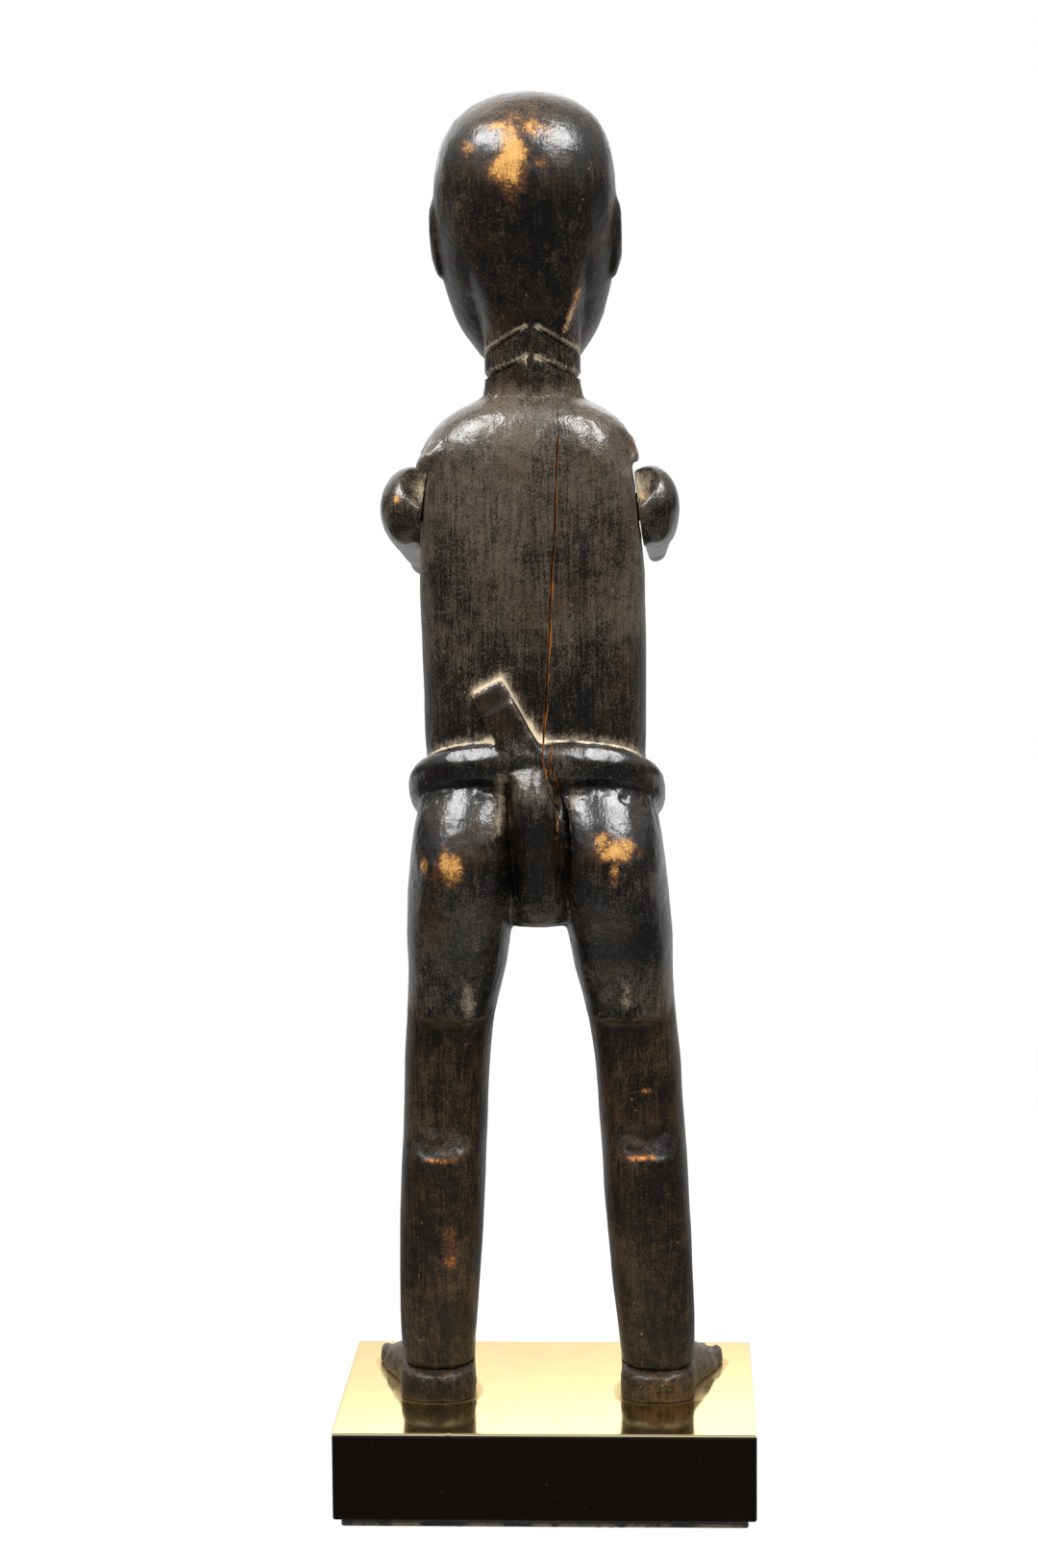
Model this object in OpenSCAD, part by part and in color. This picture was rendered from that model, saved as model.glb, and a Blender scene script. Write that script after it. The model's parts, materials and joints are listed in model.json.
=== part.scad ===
// Carved ancestor figure on a display stand.
// Millimetres, +Z up, origin at the bottom centre of the felt pad, face toward -Y.

/* [Stand] */

// Stand width, side to side
base_w = 120; // [112:1:180]
// Stand depth, front to back
base_d = 92; // [84:1:140]
// Height of the black wooden block
block_h = 24.7; // [18:0.1:40]
// Rounding of the block's lower edge
block_edge = 1.2; // [0.5:0.1:3]
// Thickness of the brass plate
plate_t = 0.8; // [0.5:0.1:2]
// Thickness of the felt pad
pad_t = 2.5; // [1.5:0.1:5]
// How far the felt pad stops short of the block's sides
pad_inset = 2.4; // [1:0.1:8]

/* [Figure] */

// How far the crown stands to the figure's left of the ankles
figure_lean = 4.7; // [0:0.1:8]
// Height from the brass plate to the waist
leg_h = 177; // [160:1:200]
// Height from the waist to the base of the neck
torso_h = 114.5; // [105:0.5:130]
// Free height between the base of the neck and the chin
neck_gap = 5.5; // [4:0.1:9]
// Height of the head from chin to crown
head_h = 78; // [70:0.5:86]

/* [Head and neck] */

// Width of the head
head_w = 52.4; // [46:0.2:56]
// Depth of the head from face to back
head_d = 59.5; // [54:0.5:64]
// Width of the neck
neck_w = 27.7; // [25:0.1:31]

/* [Torso] */

// Width of the torso
torso_w = 64.6; // [60:0.2:68]
// Depth of the torso
torso_d = 43; // [39:0.5:46]
// Half the height of the rolled belt
belt_h = 5.9; // [5:0.1:7]
// How far the belt stands out from the waist
belt_out = 4.6; // [3.5:0.1:5.5]
// How far the belt drops from back to front, in degrees
belt_tilt = 26; // [18:1:30]
// Width of the cloth flap below the belt
flap_w = 17.4; // [14:0.1:19]
// Width of the tucked cloth end above the belt
tail_w = 10.4; // [8:0.1:12]
// Length of the tucked cloth end
tail_l = 17.6; // [14:0.1:24]

/* [Legs and feet] */

// Distance between the middles of the ankles
stance = 64.2; // [62:0.2:68]
// Width of the calf
leg_w = 25; // [23:0.1:27]
// Depth of the calf
leg_d = 31; // [29:0.1:34]
// Length of the foot
foot_l = 47; // [42:0.5:52]
// Width of the foot at the toes
foot_w = 25.5; // [22:0.1:28]
// Height of the foot at the instep
foot_h = 13; // [11:0.1:16]
// How far each foot turns outward, in degrees
foot_splay = 18; // [8:1:24]

/* [Arms] */

// Length of the arm from the peg to the fingertips
arm_l = 85; // [72:0.5:92]
// Height of the arm at the shoulder
arm_h = 23.6; // [20:0.1:25]
// Thickness of the arm at the shoulder
arm_t = 12.2; // [11:0.1:14]
// How much thicker the left arm is than the right
arm_uneven = 0.8; // [0:0.1:2]
// How far the arm points below level, in degrees
arm_droop = 14.5; // [6:0.5:20]
// How much lower the left arm points than the right, in degrees
droop_uneven = 3; // [0:0.5:4]
// How far the shoulder seat leans inward at the top, in degrees
seat_lean = 7; // [6:0.5:9]
// Height of the peg above the waist, as a share of the torso height
peg_rise = 0.708; // [0.695:0.001:0.725]
// Gap between the arm and its seat
arm_gap = 0.6; // [0.4:0.1:1]
// Diameter of the shoulder peg
peg_d = 8; // [6:0.1:9]
// Length of peg held in the torso
peg_in_torso = 16; // [10:0.5:20]
// Length of peg inside the arm's socket
peg_in_arm = 7; // [5:0.1:8]
// Radial running clearance of the arm on its peg
peg_clear = 0.05; // [0.03:0.01:0.1]
// Free depth past the peg's end in the arm's socket
socket_spare = 0.8; // [0.4:0.1:1.5]

/* [Foot screws] */

// Diameter of the screw's shank
screw_d = 4.2; // [3.5:0.1:5]
// Diameter of the screw's countersunk head
screw_head_d = 8.4; // [7:0.1:10]
// Length of the screw held in the leg
screw_grip = 31; // [20:0.5:40]
// How far the screw's head lies above the block's underside
screw_sink = 0.3; // [0.2:0.1:1]
// Clearance round the screw in the block and the plate
screw_clear = 0.25; // [0.1:0.05:0.5]

/* [Hidden] */

$fn = 40;
plate_top = pad_t + block_h + plate_t;
waist_z = leg_h;
neck_z = waist_z + torso_h;
chin_z = neck_z + neck_gap;
figure_h = chin_z + head_h;
ankle_x = stance / 2;
ankle_y = 0.032 * leg_d;
peg_z = waist_z + peg_rise * torso_h;
seat_x = 0.465 * torso_w;
arm_r = arm_h / 2;
pocket_r = arm_r + 2 * arm_gap;
bore_d = peg_d + 2 * peg_clear;
screw_l = screw_grip + plate_t + block_h - screw_sink;
wood_dark = [0.16, 0.11, 0.08];
wood_bare = [0.55, 0.36, 0.2];

// Stations run [along, middle, half width, back, front, squareness].
// They are shares of the height, the width and the depth of the form they shape.
HEAD = [
    [0, 0, 0.13, -0.235, -0.462, 2.1], [0.038, 0, 0.26, -0.118, -0.49, 2.2],
    [0.09, 0, 0.317, -0.06, -0.512, 2.2], [0.141, 0, 0.37, 0, -0.525, 2.3],
    [0.192, 0, 0.406, 0.067, -0.533, 2.3], [0.244, 0, 0.431, 0.143, -0.54, 2.3],
    [0.346, 0, 0.466, 0.29, -0.542, 2.4], [0.5, 0, 0.484, 0.42, -0.524, 2.4],
    [0.654, 0, 0.493, 0.454, -0.5, 2.3], [0.782, -0.004, 0.47, 0.432, -0.44, 2.2],
    [0.885, -0.012, 0.4, 0.356, -0.345, 2.1], [0.949, -0.02, 0.296, 0.262, -0.24, 2],
    [0.987, -0.024, 0.166, 0.145, -0.125, 2], [1, -0.025, 0.04, 0.045, -0.02, 2]];
NAPE = [
    [-0.1, -0.04, 0.5, 0.205, -0.185, 2.1], [0, -0.04, 0.5, 0.205, -0.185, 2.1],
    [0.22, -0.04, 0.497, 0.204, -0.185, 2.1], [0.38, -0.04, 0.5, 0.215, -0.19, 2.2],
    [0.52, -0.03, 0.54, 0.27, -0.19, 2.3], [0.7, -0.015, 0.64, 0.345, -0.18, 2.4],
    [0.87, 0, 0.75, 0.405, -0.15, 2.4], [1, 0, 0.78, 0.42, -0.1, 2.4]];
TORSO = [
    [-0.061, 0, 0.48, 0.465, -0.5, 2.8], [0.061, 0, 0.486, 0.465, -0.52, 2.8],
    [0.2, 0, 0.495, 0.472, -0.565, 2.7], [0.36, 0, 0.497, 0.479, -0.55, 2.8],
    [0.5, 0, 0.498, 0.493, -0.51, 3], [0.7, 0, 0.492, 0.505, -0.5, 3],
    [0.83, 0, 0.485, 0.5, -0.5, 2.9], [0.865, 0, 0.47, 0.49, -0.488, 2.8],
    [0.896, -0.002, 0.435, 0.47, -0.465, 2.7], [0.932, -0.006, 0.38, 0.432, -0.42, 2.6],
    [0.955, -0.009, 0.317, 0.39, -0.38, 2.5], [0.97, -0.01, 0.263, 0.35, -0.35, 2.4],
    [0.98, -0.01, 0.222, 0.31, -0.32, 2.3]];
PELVIS = [
    [0.785, 0, 0.18, 0.33, -0.37, 2.2], [0.814, 0, 0.28, 0.42, -0.44, 2.3],
    [0.859, 0, 0.37, 0.47, -0.49, 2.4], [0.944, 0, 0.49, 0.49, -0.51, 2.5],
    [1.005, 0, 0.5, 0.48, -0.51, 2.6]];
LEG = [
    [0.017, 1, 0.42, 0.42, -0.36, 2.2], [0.051, 1, 0.428, 0.43, -0.36, 2.2],
    [0.082, 1, 0.444, 0.445, -0.37, 2.3], [0.13, 0.99, 0.46, 0.46, -0.375, 2.3],
    [0.181, 0.972, 0.476, 0.484, -0.387, 2.3], [0.277, 0.944, 0.492, 0.525, -0.42, 2.4],
    [0.35, 0.923, 0.5, 0.54, -0.445, 2.5], [0.392, 0.913, 0.5, 0.538, -0.46, 2.5],
    [0.402, 0.91, 0.5, 0.552, -0.465, 2.5], [0.412, 0.906, 0.499, 0.515, -0.472, 2.5],
    [0.43, 0.9, 0.498, 0.465, -0.49, 2.4], [0.455, 0.893, 0.498, 0.43, -0.515, 2.4],
    [0.5, 0.88, 0.496, 0.42, -0.54, 2.4], [0.569, 0.857, 0.5, 0.452, -0.532, 2.4],
    [0.621, 0.826, 0.506, 0.49, -0.54, 2.4], [0.631, 0.818, 0.511, 0.505, -0.543, 2.4],
    [0.636, 0.814, 0.514, 0.585, -0.545, 2.4],
    [0.667, 0.788, 0.53, 0.62, -0.555, 2.4], [0.712, 0.752, 0.568, 0.68, -0.58, 2.4],
    [0.76, 0.733, 0.6, 0.78, -0.613, 2.4], [0.802, 0.704, 0.62, 0.88, -0.645, 2.4],
    [0.847, 0.676, 0.64, 0.975, -0.67, 2.4], [0.893, 0.645, 0.64, 1.01, -0.69, 2.4],
    [0.93, 0.615, 0.643, 0.97, -0.7, 2.4], [0.965, 0.58, 0.642, 0.88, -0.7, 2.4],
    [1, 0.54, 0.62, 0.75, -0.68, 2.4], [1.035, 0.5, 0.58, 0.6, -0.6, 2.4]];
FLAP = [
    [0.795, -0.11, 0.42, 0.7, -0.4, 3], [0.806, -0.108, 0.465, 0.8, -0.62, 3],
    [0.834, -0.103, 0.48, 0.86, -0.7, 2.9], [0.884, -0.085, 0.478, 0.91, -0.8, 2.8],
    [0.945, -0.044, 0.46, 0.965, -0.8, 2.8], [0.98, -0.01, 0.442, 0.985, -0.7, 2.8],
    [1, 0.01, 0.43, 0.975, -0.62, 2.8], [1.02, 0.034, 0.408, 0.93, -0.55, 2.9],
    [1.045, 0.077, 0.38, 0.87, -0.5, 3], [1.07, 0.15, 0.36, 0.842, -0.45, 3],
    [1.09, 0.27, 0.325, 0.8, -0.4, 3.2], [1.105, 0.36, 0.3, 0.745, -0.4, 3.2]];
// Stations of feet and arms run [along, middle, half width, height, squareness].
FOOT = [
    [0, 0, 0.1, 0.52, 4], [0.011, 0, 0.17, 0.58, 5], [0.03, 0, 0.255, 0.63, 6],
    [0.06, 0, 0.335, 0.655, 7], [0.106, 0, 0.4, 0.67, 7], [0.17, 0, 0.427, 0.675, 7],
    [0.26, 0, 0.432, 0.68, 7], [0.36, 0.02, 0.432, 0.76, 5],
    [0.46, 0.1, 0.436, 0.96, 3], [0.56, 0.2, 0.445, 1, 2.6], [0.72, 0.4, 0.45, 0.76, 2.6],
    [0.84, 0.5, 0.424, 0.56, 2.8], [0.93, 0.55, 0.377, 0.46, 2.8], [1, 0.58, 0.28, 0.3, 2.6]];
ARM = [
    [-0.129, 0.02, 0.08, 0.3, 2], [-0.12, 0.02, 0.2, 0.56, 2], [-0.094, 0.02, 0.345, 0.82, 2],
    [-0.047, 0.015, 0.465, 0.96, 2], [0, 0, 0.5, 1, 2], [0.12, 0.01, 0.465, 0.93, 2.05],
    [0.29, 0.01, 0.385, 0.78, 2.2], [0.45, 0, 0.345, 0.69, 2.3], [0.61, -0.04, 0.315, 0.63, 2.3],
    [0.73, -0.08, 0.27, 0.57, 2.4], [0.82, -0.12, 0.325, 0.57, 2.5], [0.92, -0.15, 0.3, 0.5, 2.5],
    [0.98, -0.165, 0.215, 0.41, 2.3], [1, -0.17, 0.1, 0.26, 2.2]];

// Curves through the stations that never swing past them
function rise(r, i, c) = (r[i + 1][c] - r[i][c]) / (r[i + 1][0] - r[i][0]);
function slope(r, i, c) = i == 0 ? rise(r, 0, c)
    : i == len(r) - 1 ? rise(r, i - 1, c)
    : let (a = rise(r, i - 1, c), b = rise(r, i, c)) a * b <= 0 ? 0 : 2 * a * b / (a + b);
function blend(r, i, c, t) = let (h = r[i + 1][0] - r[i][0])
    r[i][c] * (2 * t * t * t - 3 * t * t + 1) + slope(r, i, c) * h * (t * t * t - 2 * t * t + t)
    + r[i + 1][c] * (3 * t * t - 2 * t * t * t) + slope(r, i + 1, c) * h * (t * t * t - t * t);
function smooth(r, steps) = [
    for (i = [0:len(r) - 2]) for (k = [0:steps - 1])
        [r[i][0] + (r[i + 1][0] - r[i][0]) * k / steps,
            for (c = [1:len(r[0]) - 1]) blend(r, i, c, k / steps)],
    r[len(r) - 1]];

// Sections
function bent(v, e) = sign(v) * pow(abs(v), 2 / e);
function oval(s, sides) = [for (k = [0:sides - 1]) let (a = 360 * (k + 0.5) / sides)
    [s[1] + s[2] * bent(cos(a), s[5]),
        (s[3] + s[4]) / 2 + (s[3] - s[4]) / 2 * bent(sin(a), s[5]), s[0]]];
function dome(s, sides, tuck) = let (low = bent(sin(tuck), s[4]))
    [for (k = [0:sides]) let (a = (180 + 2 * tuck) * k / sides - tuck)
        [s[1] + s[2] * bent(cos(a), s[4]), s[3] * (bent(sin(a), s[4]) + low) / (1 + low), s[0]]];
function body_size(r, h, m, w, d) = [for (s = r)
    [s[0] * h, s[1] * m, s[2] * w, s[3] * d, s[4] * d, s[5]]];
function limb_size(r, l, m, w, h) = [for (s = r)
    [s[0] * l, s[1] * m, s[2] * w, s[3] * h, s[4]]];

// Skins
module skin(rings) {
    n = len(rings[0]);
    m = len(rings);
    polyhedron(
        points = [for (ring = rings) each ring],
        faces = [
            [for (k = [0:n - 1]) k],
            for (r = [0:m - 2]) for (k = [0:n - 1]) let (a = r * n, j = (k + 1) % n)
                each [[a + k, a + n + k, a + n + j], [a + k, a + n + j, a + j]],
            [for (k = [n - 1:-1:0]) (m - 1) * n + k]],
        convexity = 6);
}

module body_loft(r, h, m, w, d, sides, steps = 1) {
    skin([for (s = smooth(body_size(r, h, m, w, d), steps)) oval(s, sides)]);
}

module limb_loft(r, l, m, w, h, sides, steps = 1, tuck = 0) {
    skin([for (s = smooth(limb_size(r, l, m, w, h), steps)) dome(s, sides, tuck)]);
}

// Joins overlapping carved forms into one skin
module weld() {
    resize([0, 0, 0]) children();
}

module egg(x, y, z, size, tilt = 0) {
    translate([x, y, z]) rotate([0, tilt, 0]) scale(size / 2) sphere(1, $fn = 16);
}

module lean() {
    translate([0, 0, plate_top])
        multmatrix([[1, 0, figure_lean / figure_h, 0], [0, 1, 0, 0], [0, 0, 1, 0]])
            children();
}

// Frame of one shoulder: outward along +X, side is 1 for the figure's left
module at_shoulder(side) {
    translate([figure_lean * peg_z / figure_h, 0, plate_top + peg_z])
        mirror([side < 0 ? 1 : 0, 0, 0])
            translate([seat_x, 0, 0])
                rotate([0, -seat_lean, 0])
                    children();
}

module face() {
    fy = -0.53 * head_d;
    // Nose
    hull() {
        egg(0, fy + 0.034 * head_d, 0.57 * head_h, [0.1 * head_w, 0.067 * head_d, 0.064 * head_h]);
        egg(0, fy - 0.04 * head_d, 0.315 * head_h, [0.2 * head_w, 0.15 * head_d, 0.09 * head_h]);
        egg(0, fy + 0.067 * head_d, 0.3 * head_h, [0.25 * head_w, 0.134 * head_d, 0.077 * head_h]);
    }
    // Brows and eyes
    for (s = [-1, 1]) {
        egg(s * 0.2 * head_w, fy + 0.07 * head_d, 0.575 * head_h,
            [0.38 * head_w, 0.15 * head_d, 0.06 * head_h], -3 * s);
        egg(s * 0.205 * head_w, fy + 0.105 * head_d, 0.485 * head_h,
            [0.25 * head_w, 0.168 * head_d, 0.085 * head_h], -2 * s);
    }
    // Mouth
    egg(0, fy + 0.057 * head_d, 0.198 * head_h, [0.36 * head_w, 0.168 * head_d, 0.056 * head_h]);
    egg(0, fy + 0.062 * head_d, 0.148 * head_h, [0.31 * head_w, 0.15 * head_d, 0.059 * head_h]);
}

module ear(side) {
    difference() {
        egg(side * 0.474 * head_w, -0.02 * head_d, 0.48 * head_h,
            [0.1 * head_w, 0.21 * head_d, 0.3 * head_h], 3 * side);
        egg(side * 0.535 * head_w, -0.045 * head_d, 0.5 * head_h,
            [0.09 * head_w, 0.11 * head_d, 0.16 * head_h], 3 * side);
    }
}

module head() {
    difference() {
        body_loft(HEAD, head_h, head_w, head_w, head_d, 28, 2);
        // Eye sockets
        for (s = [-1, 1]) {
            egg(s * 0.2 * head_w, -0.565 * head_d, 0.49 * head_h,
                [0.34 * head_w, 0.17 * head_d, 0.15 * head_h], -4 * s);
        }
    }
    face();
    ear(1);
    ear(-1);
}

module neck() {
    body_loft(NAPE, neck_gap + 0.53 * head_h, neck_w, neck_w, head_d, 28);
}

module belt() {
    sides = 40;
    turns = 12;
    back = 0.485 * torso_d;
    front = -0.54 * torso_d;
    wide = 0.505 * torso_w;
    function at(i) = let (a = 360 * i / sides)
        [wide * bent(cos(a), 2.7), (back + front) / 2 + (back - front) / 2 * bent(sin(a), 2.7)];
    function out(i) = let (d = at(i + 0.5) - at(i - 0.5)) [d[1], -d[0]] / norm(d);
    points = [for (i = [0:sides - 1]) for (j = [0:turns - 1]) let (b = 360 * j / turns, o = out(i))
        [at(i)[0] + o[0] * belt_out * cos(b), at(i)[1] + o[1] * belt_out * cos(b),
            at(i)[1] * tan(belt_tilt) + belt_h * sin(b)]];
    faces = [for (i = [0:sides - 1]) for (j = [0:turns - 1])
        let (p = i * turns, q = ((i + 1) % sides) * turns, k = (j + 1) % turns)
        each [[p + j, p + k, q + k], [p + j, q + k, q + j]]];
    polyhedron(points = points, faces = faces, convexity = 6);
}

module tail() {
    buried = 0.43 * tail_l;
    long = tail_l + buried;
    thick = 0.12 * torso_d;
    bevel = 0.065 * tail_w;
    translate([0.137 * torso_w, 0.49 * torso_d, waist_z + 0.21 * torso_h])
        rotate([0, 28, 0])
            rotate([5, 0, 0])
                translate([0, 0, -buried / 2])
                    hull() {
                        for (e = [-1, 1]) {
                            wide = tail_w * (1 - 0.07 * e);
                            translate([0, 0, e * (long - bevel) / 2])
                                cube([wide, 0.65 * thick, bevel], center = true);
                            translate([0, 0, e * (long - 3 * bevel) / 2])
                                cube([wide - 2 * bevel, thick, bevel], center = true);
                        }
                    }
}

module leg() {
    body_loft(LEG, leg_h, ankle_x, leg_w, leg_d, 24);
}

module foot() {
    heel = 0.35 * foot_l;
    turn = foot_l * tan(foot_splay);
    translate([ankle_x, ankle_y, 0]) {
        translate([0, heel, 0])
            rotate([90, 0, 0])
                limb_loft(FOOT, foot_l, turn, foot_w, foot_h, 20);
        // Toes
        for (t = [-2:2]) {
            w = t == -2 ? 0.23 : 0.17;
            x = t == -2 ? -0.29 : 0.165 * t + 0.02;
            intersection() {
                translate([x * foot_w + 0.56 * turn, heel - (0.96 - 0.015 * t * t) * foot_l, 0.12 * foot_h])
                    scale([w * foot_w / 2, 0.09 * foot_l, 0.32 * foot_h])
                        sphere(1, $fn = 14);
                translate([-foot_w, -foot_l, 0]) cube([3 * foot_w, 2 * foot_l, foot_h]);
            }
        }
    }
}

module body_form() {
    lean() {
        translate([0, 0, chin_z]) head();
        translate([0, 0, neck_z]) neck();
        translate([0, 0, waist_z]) {
            body_loft(TORSO, torso_h, torso_w, torso_w, torso_d, 36);
            belt();
        }
        tail();
        body_loft(PELVIS, leg_h, torso_w, torso_w, torso_d, 28);
        body_loft(FLAP, leg_h, flap_w, flap_w, leg_d, 20);
        for (s = [0, 1]) {
            mirror([s, 0, 0]) {
                leg();
                foot();
            }
        }
    }
}

// Flat seat for the arm, open to the front and stopped at the back by the shoulder's edge
module seat_cut() {
    clear = 0.93 * torso_d;
    past = 0.35 * arm_h;
    low = 1.55 * arm_h;
    wide = 0.7 * torso_d;
    translate([0, -clear, -low]) cube([wide, clear + pocket_r + past, low + pocket_r]);
    translate([0, -clear, 0]) cube([wide, clear + 0.25 * arm_t, 2 * arm_h]);
}

// The left shoulder's edge, which overhangs the back of the arm and clears its round end
module shoulder_lip() {
    difference() {
        lean()
            egg(0.412 * torso_w, 0.26 * torso_d, waist_z + 0.846 * torso_h,
                [0.235 * torso_w, 0.26 * torso_d, 0.046 * torso_h], 43);
        at_shoulder(1)
            rotate([0, 90, 0])
                cylinder(h = arm_h, r = pocket_r, center = true);
    }
}

// The head, neck, torso, belt, cloth, legs and feet, carved from one block
module body_carving() {
    color(wood_dark)
        difference() {
            weld() {
                difference() {
                    body_form();
                    for (side = [-1, 1]) {
                        at_shoulder(side) seat_cut();
                    }
                }
                shoulder_lip();
            }
            for (side = [-1, 1]) {
                at_shoulder(side)
                    translate([-peg_in_torso, 0, 0])
                        rotate([0, 90, 0])
                            cylinder(h = peg_in_torso + arm_h, d = peg_d);
                translate([side * ankle_x, ankle_y, plate_top - 1])
                    cylinder(h = screw_grip + 1, d = screw_d);
            }
        }
}

// An arm lies along -Y in the frame of its shoulder, with its flat face on the seat
module arm(side) {
    thick = arm_t + side * arm_uneven / 2;
    color(wood_dark)
        at_shoulder(side)
            translate([arm_gap, 0, 0])
                difference() {
                    weld() {
                        rotate([arm_droop + side * droop_uneven / 2, 0, 0])
                            rotate([0, 90, 0])
                                rotate([90, 0, 0]) {
                                    limb_loft(ARM, arm_l, arm_h, arm_h, thick, 20, 2, 30);
                                    // Thumb
                                    translate([-0.37 * arm_h, 0.33 * thick, 0.84 * arm_l])
                                        rotate([0, -16, 0])
                                            scale([0.12 * arm_h, 0.22 * thick, 0.085 * arm_l])
                                                sphere(1, $fn = 14);
                                }
                    }
                    translate([-1, 0, 0])
                        rotate([0, 90, 0])
                            cylinder(h = peg_in_arm + socket_spare + 1, d = bore_d);
                }
}

module left_arm() {
    arm(1);
}

module right_arm() {
    arm(-1);
}

// A turned dowel, driven into the torso, on which the arm turns
module shoulder_peg(side) {
    long = peg_in_torso + arm_gap + peg_in_arm;
    bevel = 0.1 * peg_d;
    tip = peg_d - 2 * bevel;
    color(wood_bare)
        at_shoulder(side)
            translate([-peg_in_torso, 0, 0])
                rotate([0, 90, 0]) {
                    cylinder(h = bevel, d1 = tip, d2 = peg_d);
                    translate([0, 0, bevel]) cylinder(h = long - 2 * bevel, d = peg_d);
                    translate([0, 0, long - bevel]) cylinder(h = bevel, d1 = peg_d, d2 = tip);
                }
}

module left_shoulder_peg() {
    shoulder_peg(1);
}

module right_shoulder_peg() {
    shoulder_peg(-1);
}

module slab(w, d, h, r) {
    linear_extrude(h) {
        square([w - 2 * r, d], center = true);
        square([w, d - 2 * r], center = true);
        for (x = [-1, 1]) for (y = [-1, 1]) {
            translate([x * (w / 2 - r), y * (d / 2 - r)]) circle(r, $fn = 24);
        }
    }
}

// Where the foot screws pass
module screw_holes(from, to) {
    for (side = [-1, 1]) {
        translate([side * ankle_x, ankle_y, from])
            cylinder(h = to - from, d = screw_d + 2 * screw_clear);
    }
}

// The black wooden block, bored and countersunk from below
module base_block() {
    seat = pad_t + screw_sink;
    cone = (screw_head_d - screw_d) / 2;
    color([0.07, 0.06, 0.05])
        difference() {
            translate([0, 0, pad_t])
                hull() {
                    slab(base_w - 2 * block_edge, base_d - 2 * block_edge, block_h, block_edge / 2);
                    translate([0, 0, 0.3 * block_edge])
                        slab(base_w - 0.6 * block_edge, base_d - 0.6 * block_edge, block_h / 2,
                            0.7 * block_edge);
                    translate([0, 0, block_edge])
                        slab(base_w, base_d, block_h - block_edge, block_edge);
                }
            screw_holes(pad_t - 1, pad_t + block_h + 1);
            for (side = [-1, 1]) {
                translate([side * ankle_x, ankle_y, 0]) {
                    translate([0, 0, pad_t - 1]) cylinder(h = seat - pad_t + 1, d = screw_head_d);
                    translate([0, 0, seat]) cylinder(h = cone, d1 = screw_head_d, d2 = screw_d);
                }
            }
        }
}

// The polished sheet under the feet
module brass_plate() {
    color([0.85, 0.72, 0.42])
        difference() {
            translate([0, 0, pad_t + block_h]) slab(base_w, base_d, plate_t, block_edge);
            screw_holes(pad_t, plate_top + 1);
        }
}

// The felt under the block
module felt_pad() {
    color([0.1, 0.1, 0.1])
        slab(base_w - 2 * pad_inset, base_d - 2 * pad_inset, pad_t, pad_inset);
}

// A countersunk wood screw with a slotted head, driven up through the block into a leg
module foot_screw(side) {
    cone = (screw_head_d - screw_d) / 2;
    point = 0.95 * screw_d;
    slot = 0.29 * screw_d;
    color([0.6, 0.6, 0.6])
        translate([side * ankle_x, ankle_y, pad_t + screw_sink])
            difference() {
                union() {
                    cylinder(h = cone, d1 = screw_head_d, d2 = screw_d);
                    cylinder(h = screw_l - point, d = screw_d);
                    translate([0, 0, screw_l - point])
                        cylinder(h = point, d1 = screw_d, d2 = 0.2 * screw_d);
                }
                cube([2 * screw_head_d, slot, 2 * slot], center = true);
            }
}

module left_foot_screw() {
    foot_screw(1);
}

module right_foot_screw() {
    foot_screw(-1);
}

body_carving();
left_arm();
right_arm();
left_shoulder_peg();
right_shoulder_peg();
base_block();
brass_plate();
felt_pad();
left_foot_screw();
right_foot_screw();
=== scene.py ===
import json
import math

import bmesh
import bpy
import numpy as np
from bpy.props import FloatProperty, FloatVectorProperty, IntProperty, PointerProperty
from mathutils import Matrix, Vector, noise
from mathutils.bvhtree import BVHTree
from mathutils.kdtree import KDTree


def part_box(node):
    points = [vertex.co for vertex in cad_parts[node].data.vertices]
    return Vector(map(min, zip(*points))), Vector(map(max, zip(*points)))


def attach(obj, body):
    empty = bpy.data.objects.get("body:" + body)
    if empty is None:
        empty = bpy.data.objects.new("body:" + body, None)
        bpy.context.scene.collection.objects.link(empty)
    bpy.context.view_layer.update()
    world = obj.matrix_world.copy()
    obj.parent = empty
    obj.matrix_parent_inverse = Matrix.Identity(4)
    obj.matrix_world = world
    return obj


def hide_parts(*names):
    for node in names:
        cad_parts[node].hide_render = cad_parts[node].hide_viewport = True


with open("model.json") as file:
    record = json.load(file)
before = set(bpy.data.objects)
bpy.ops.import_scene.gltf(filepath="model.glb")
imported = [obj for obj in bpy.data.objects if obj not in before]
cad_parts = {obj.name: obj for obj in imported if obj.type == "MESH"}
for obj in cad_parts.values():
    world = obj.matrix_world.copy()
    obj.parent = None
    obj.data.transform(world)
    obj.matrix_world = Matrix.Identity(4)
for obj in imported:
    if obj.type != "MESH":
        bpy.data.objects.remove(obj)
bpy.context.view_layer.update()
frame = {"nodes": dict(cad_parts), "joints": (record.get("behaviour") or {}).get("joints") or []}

bl_info = {
    "name": "Carved figure on a stand",
    "version": (1, 0, 0),
    "blender": (4, 5, 0),
    "location": "View3D > Sidebar > Figure",
    "description": "Dresses a carved wooden figure and its display stand",
    "category": "Object",
}

NODES = frame["nodes"]
STAND_BODY = "carving_on_stand"
MM = 0.001
PLATE_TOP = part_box("brass_plate")[1].z / MM
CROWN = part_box("body_carving")[1].z / MM
SHOULDER = frame["joints"][0]["pos_m"][2] / MM
# Heights on the figure and places on its face, in millimetres
CALF_LEDGE = 100
KNEE = 141
WAIST = 205
NECK_FOOT = 317
NAPE = 338
CHIN = CROWN - 78
EYES = CHIN + 38
BROW = CHIN + 45
FACE_MIDDLE = 4.7 / 375 * 335
# How much the belt drops for each millimetre toward the front
BELT_SLOPE = 0.488


# Settings


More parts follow.
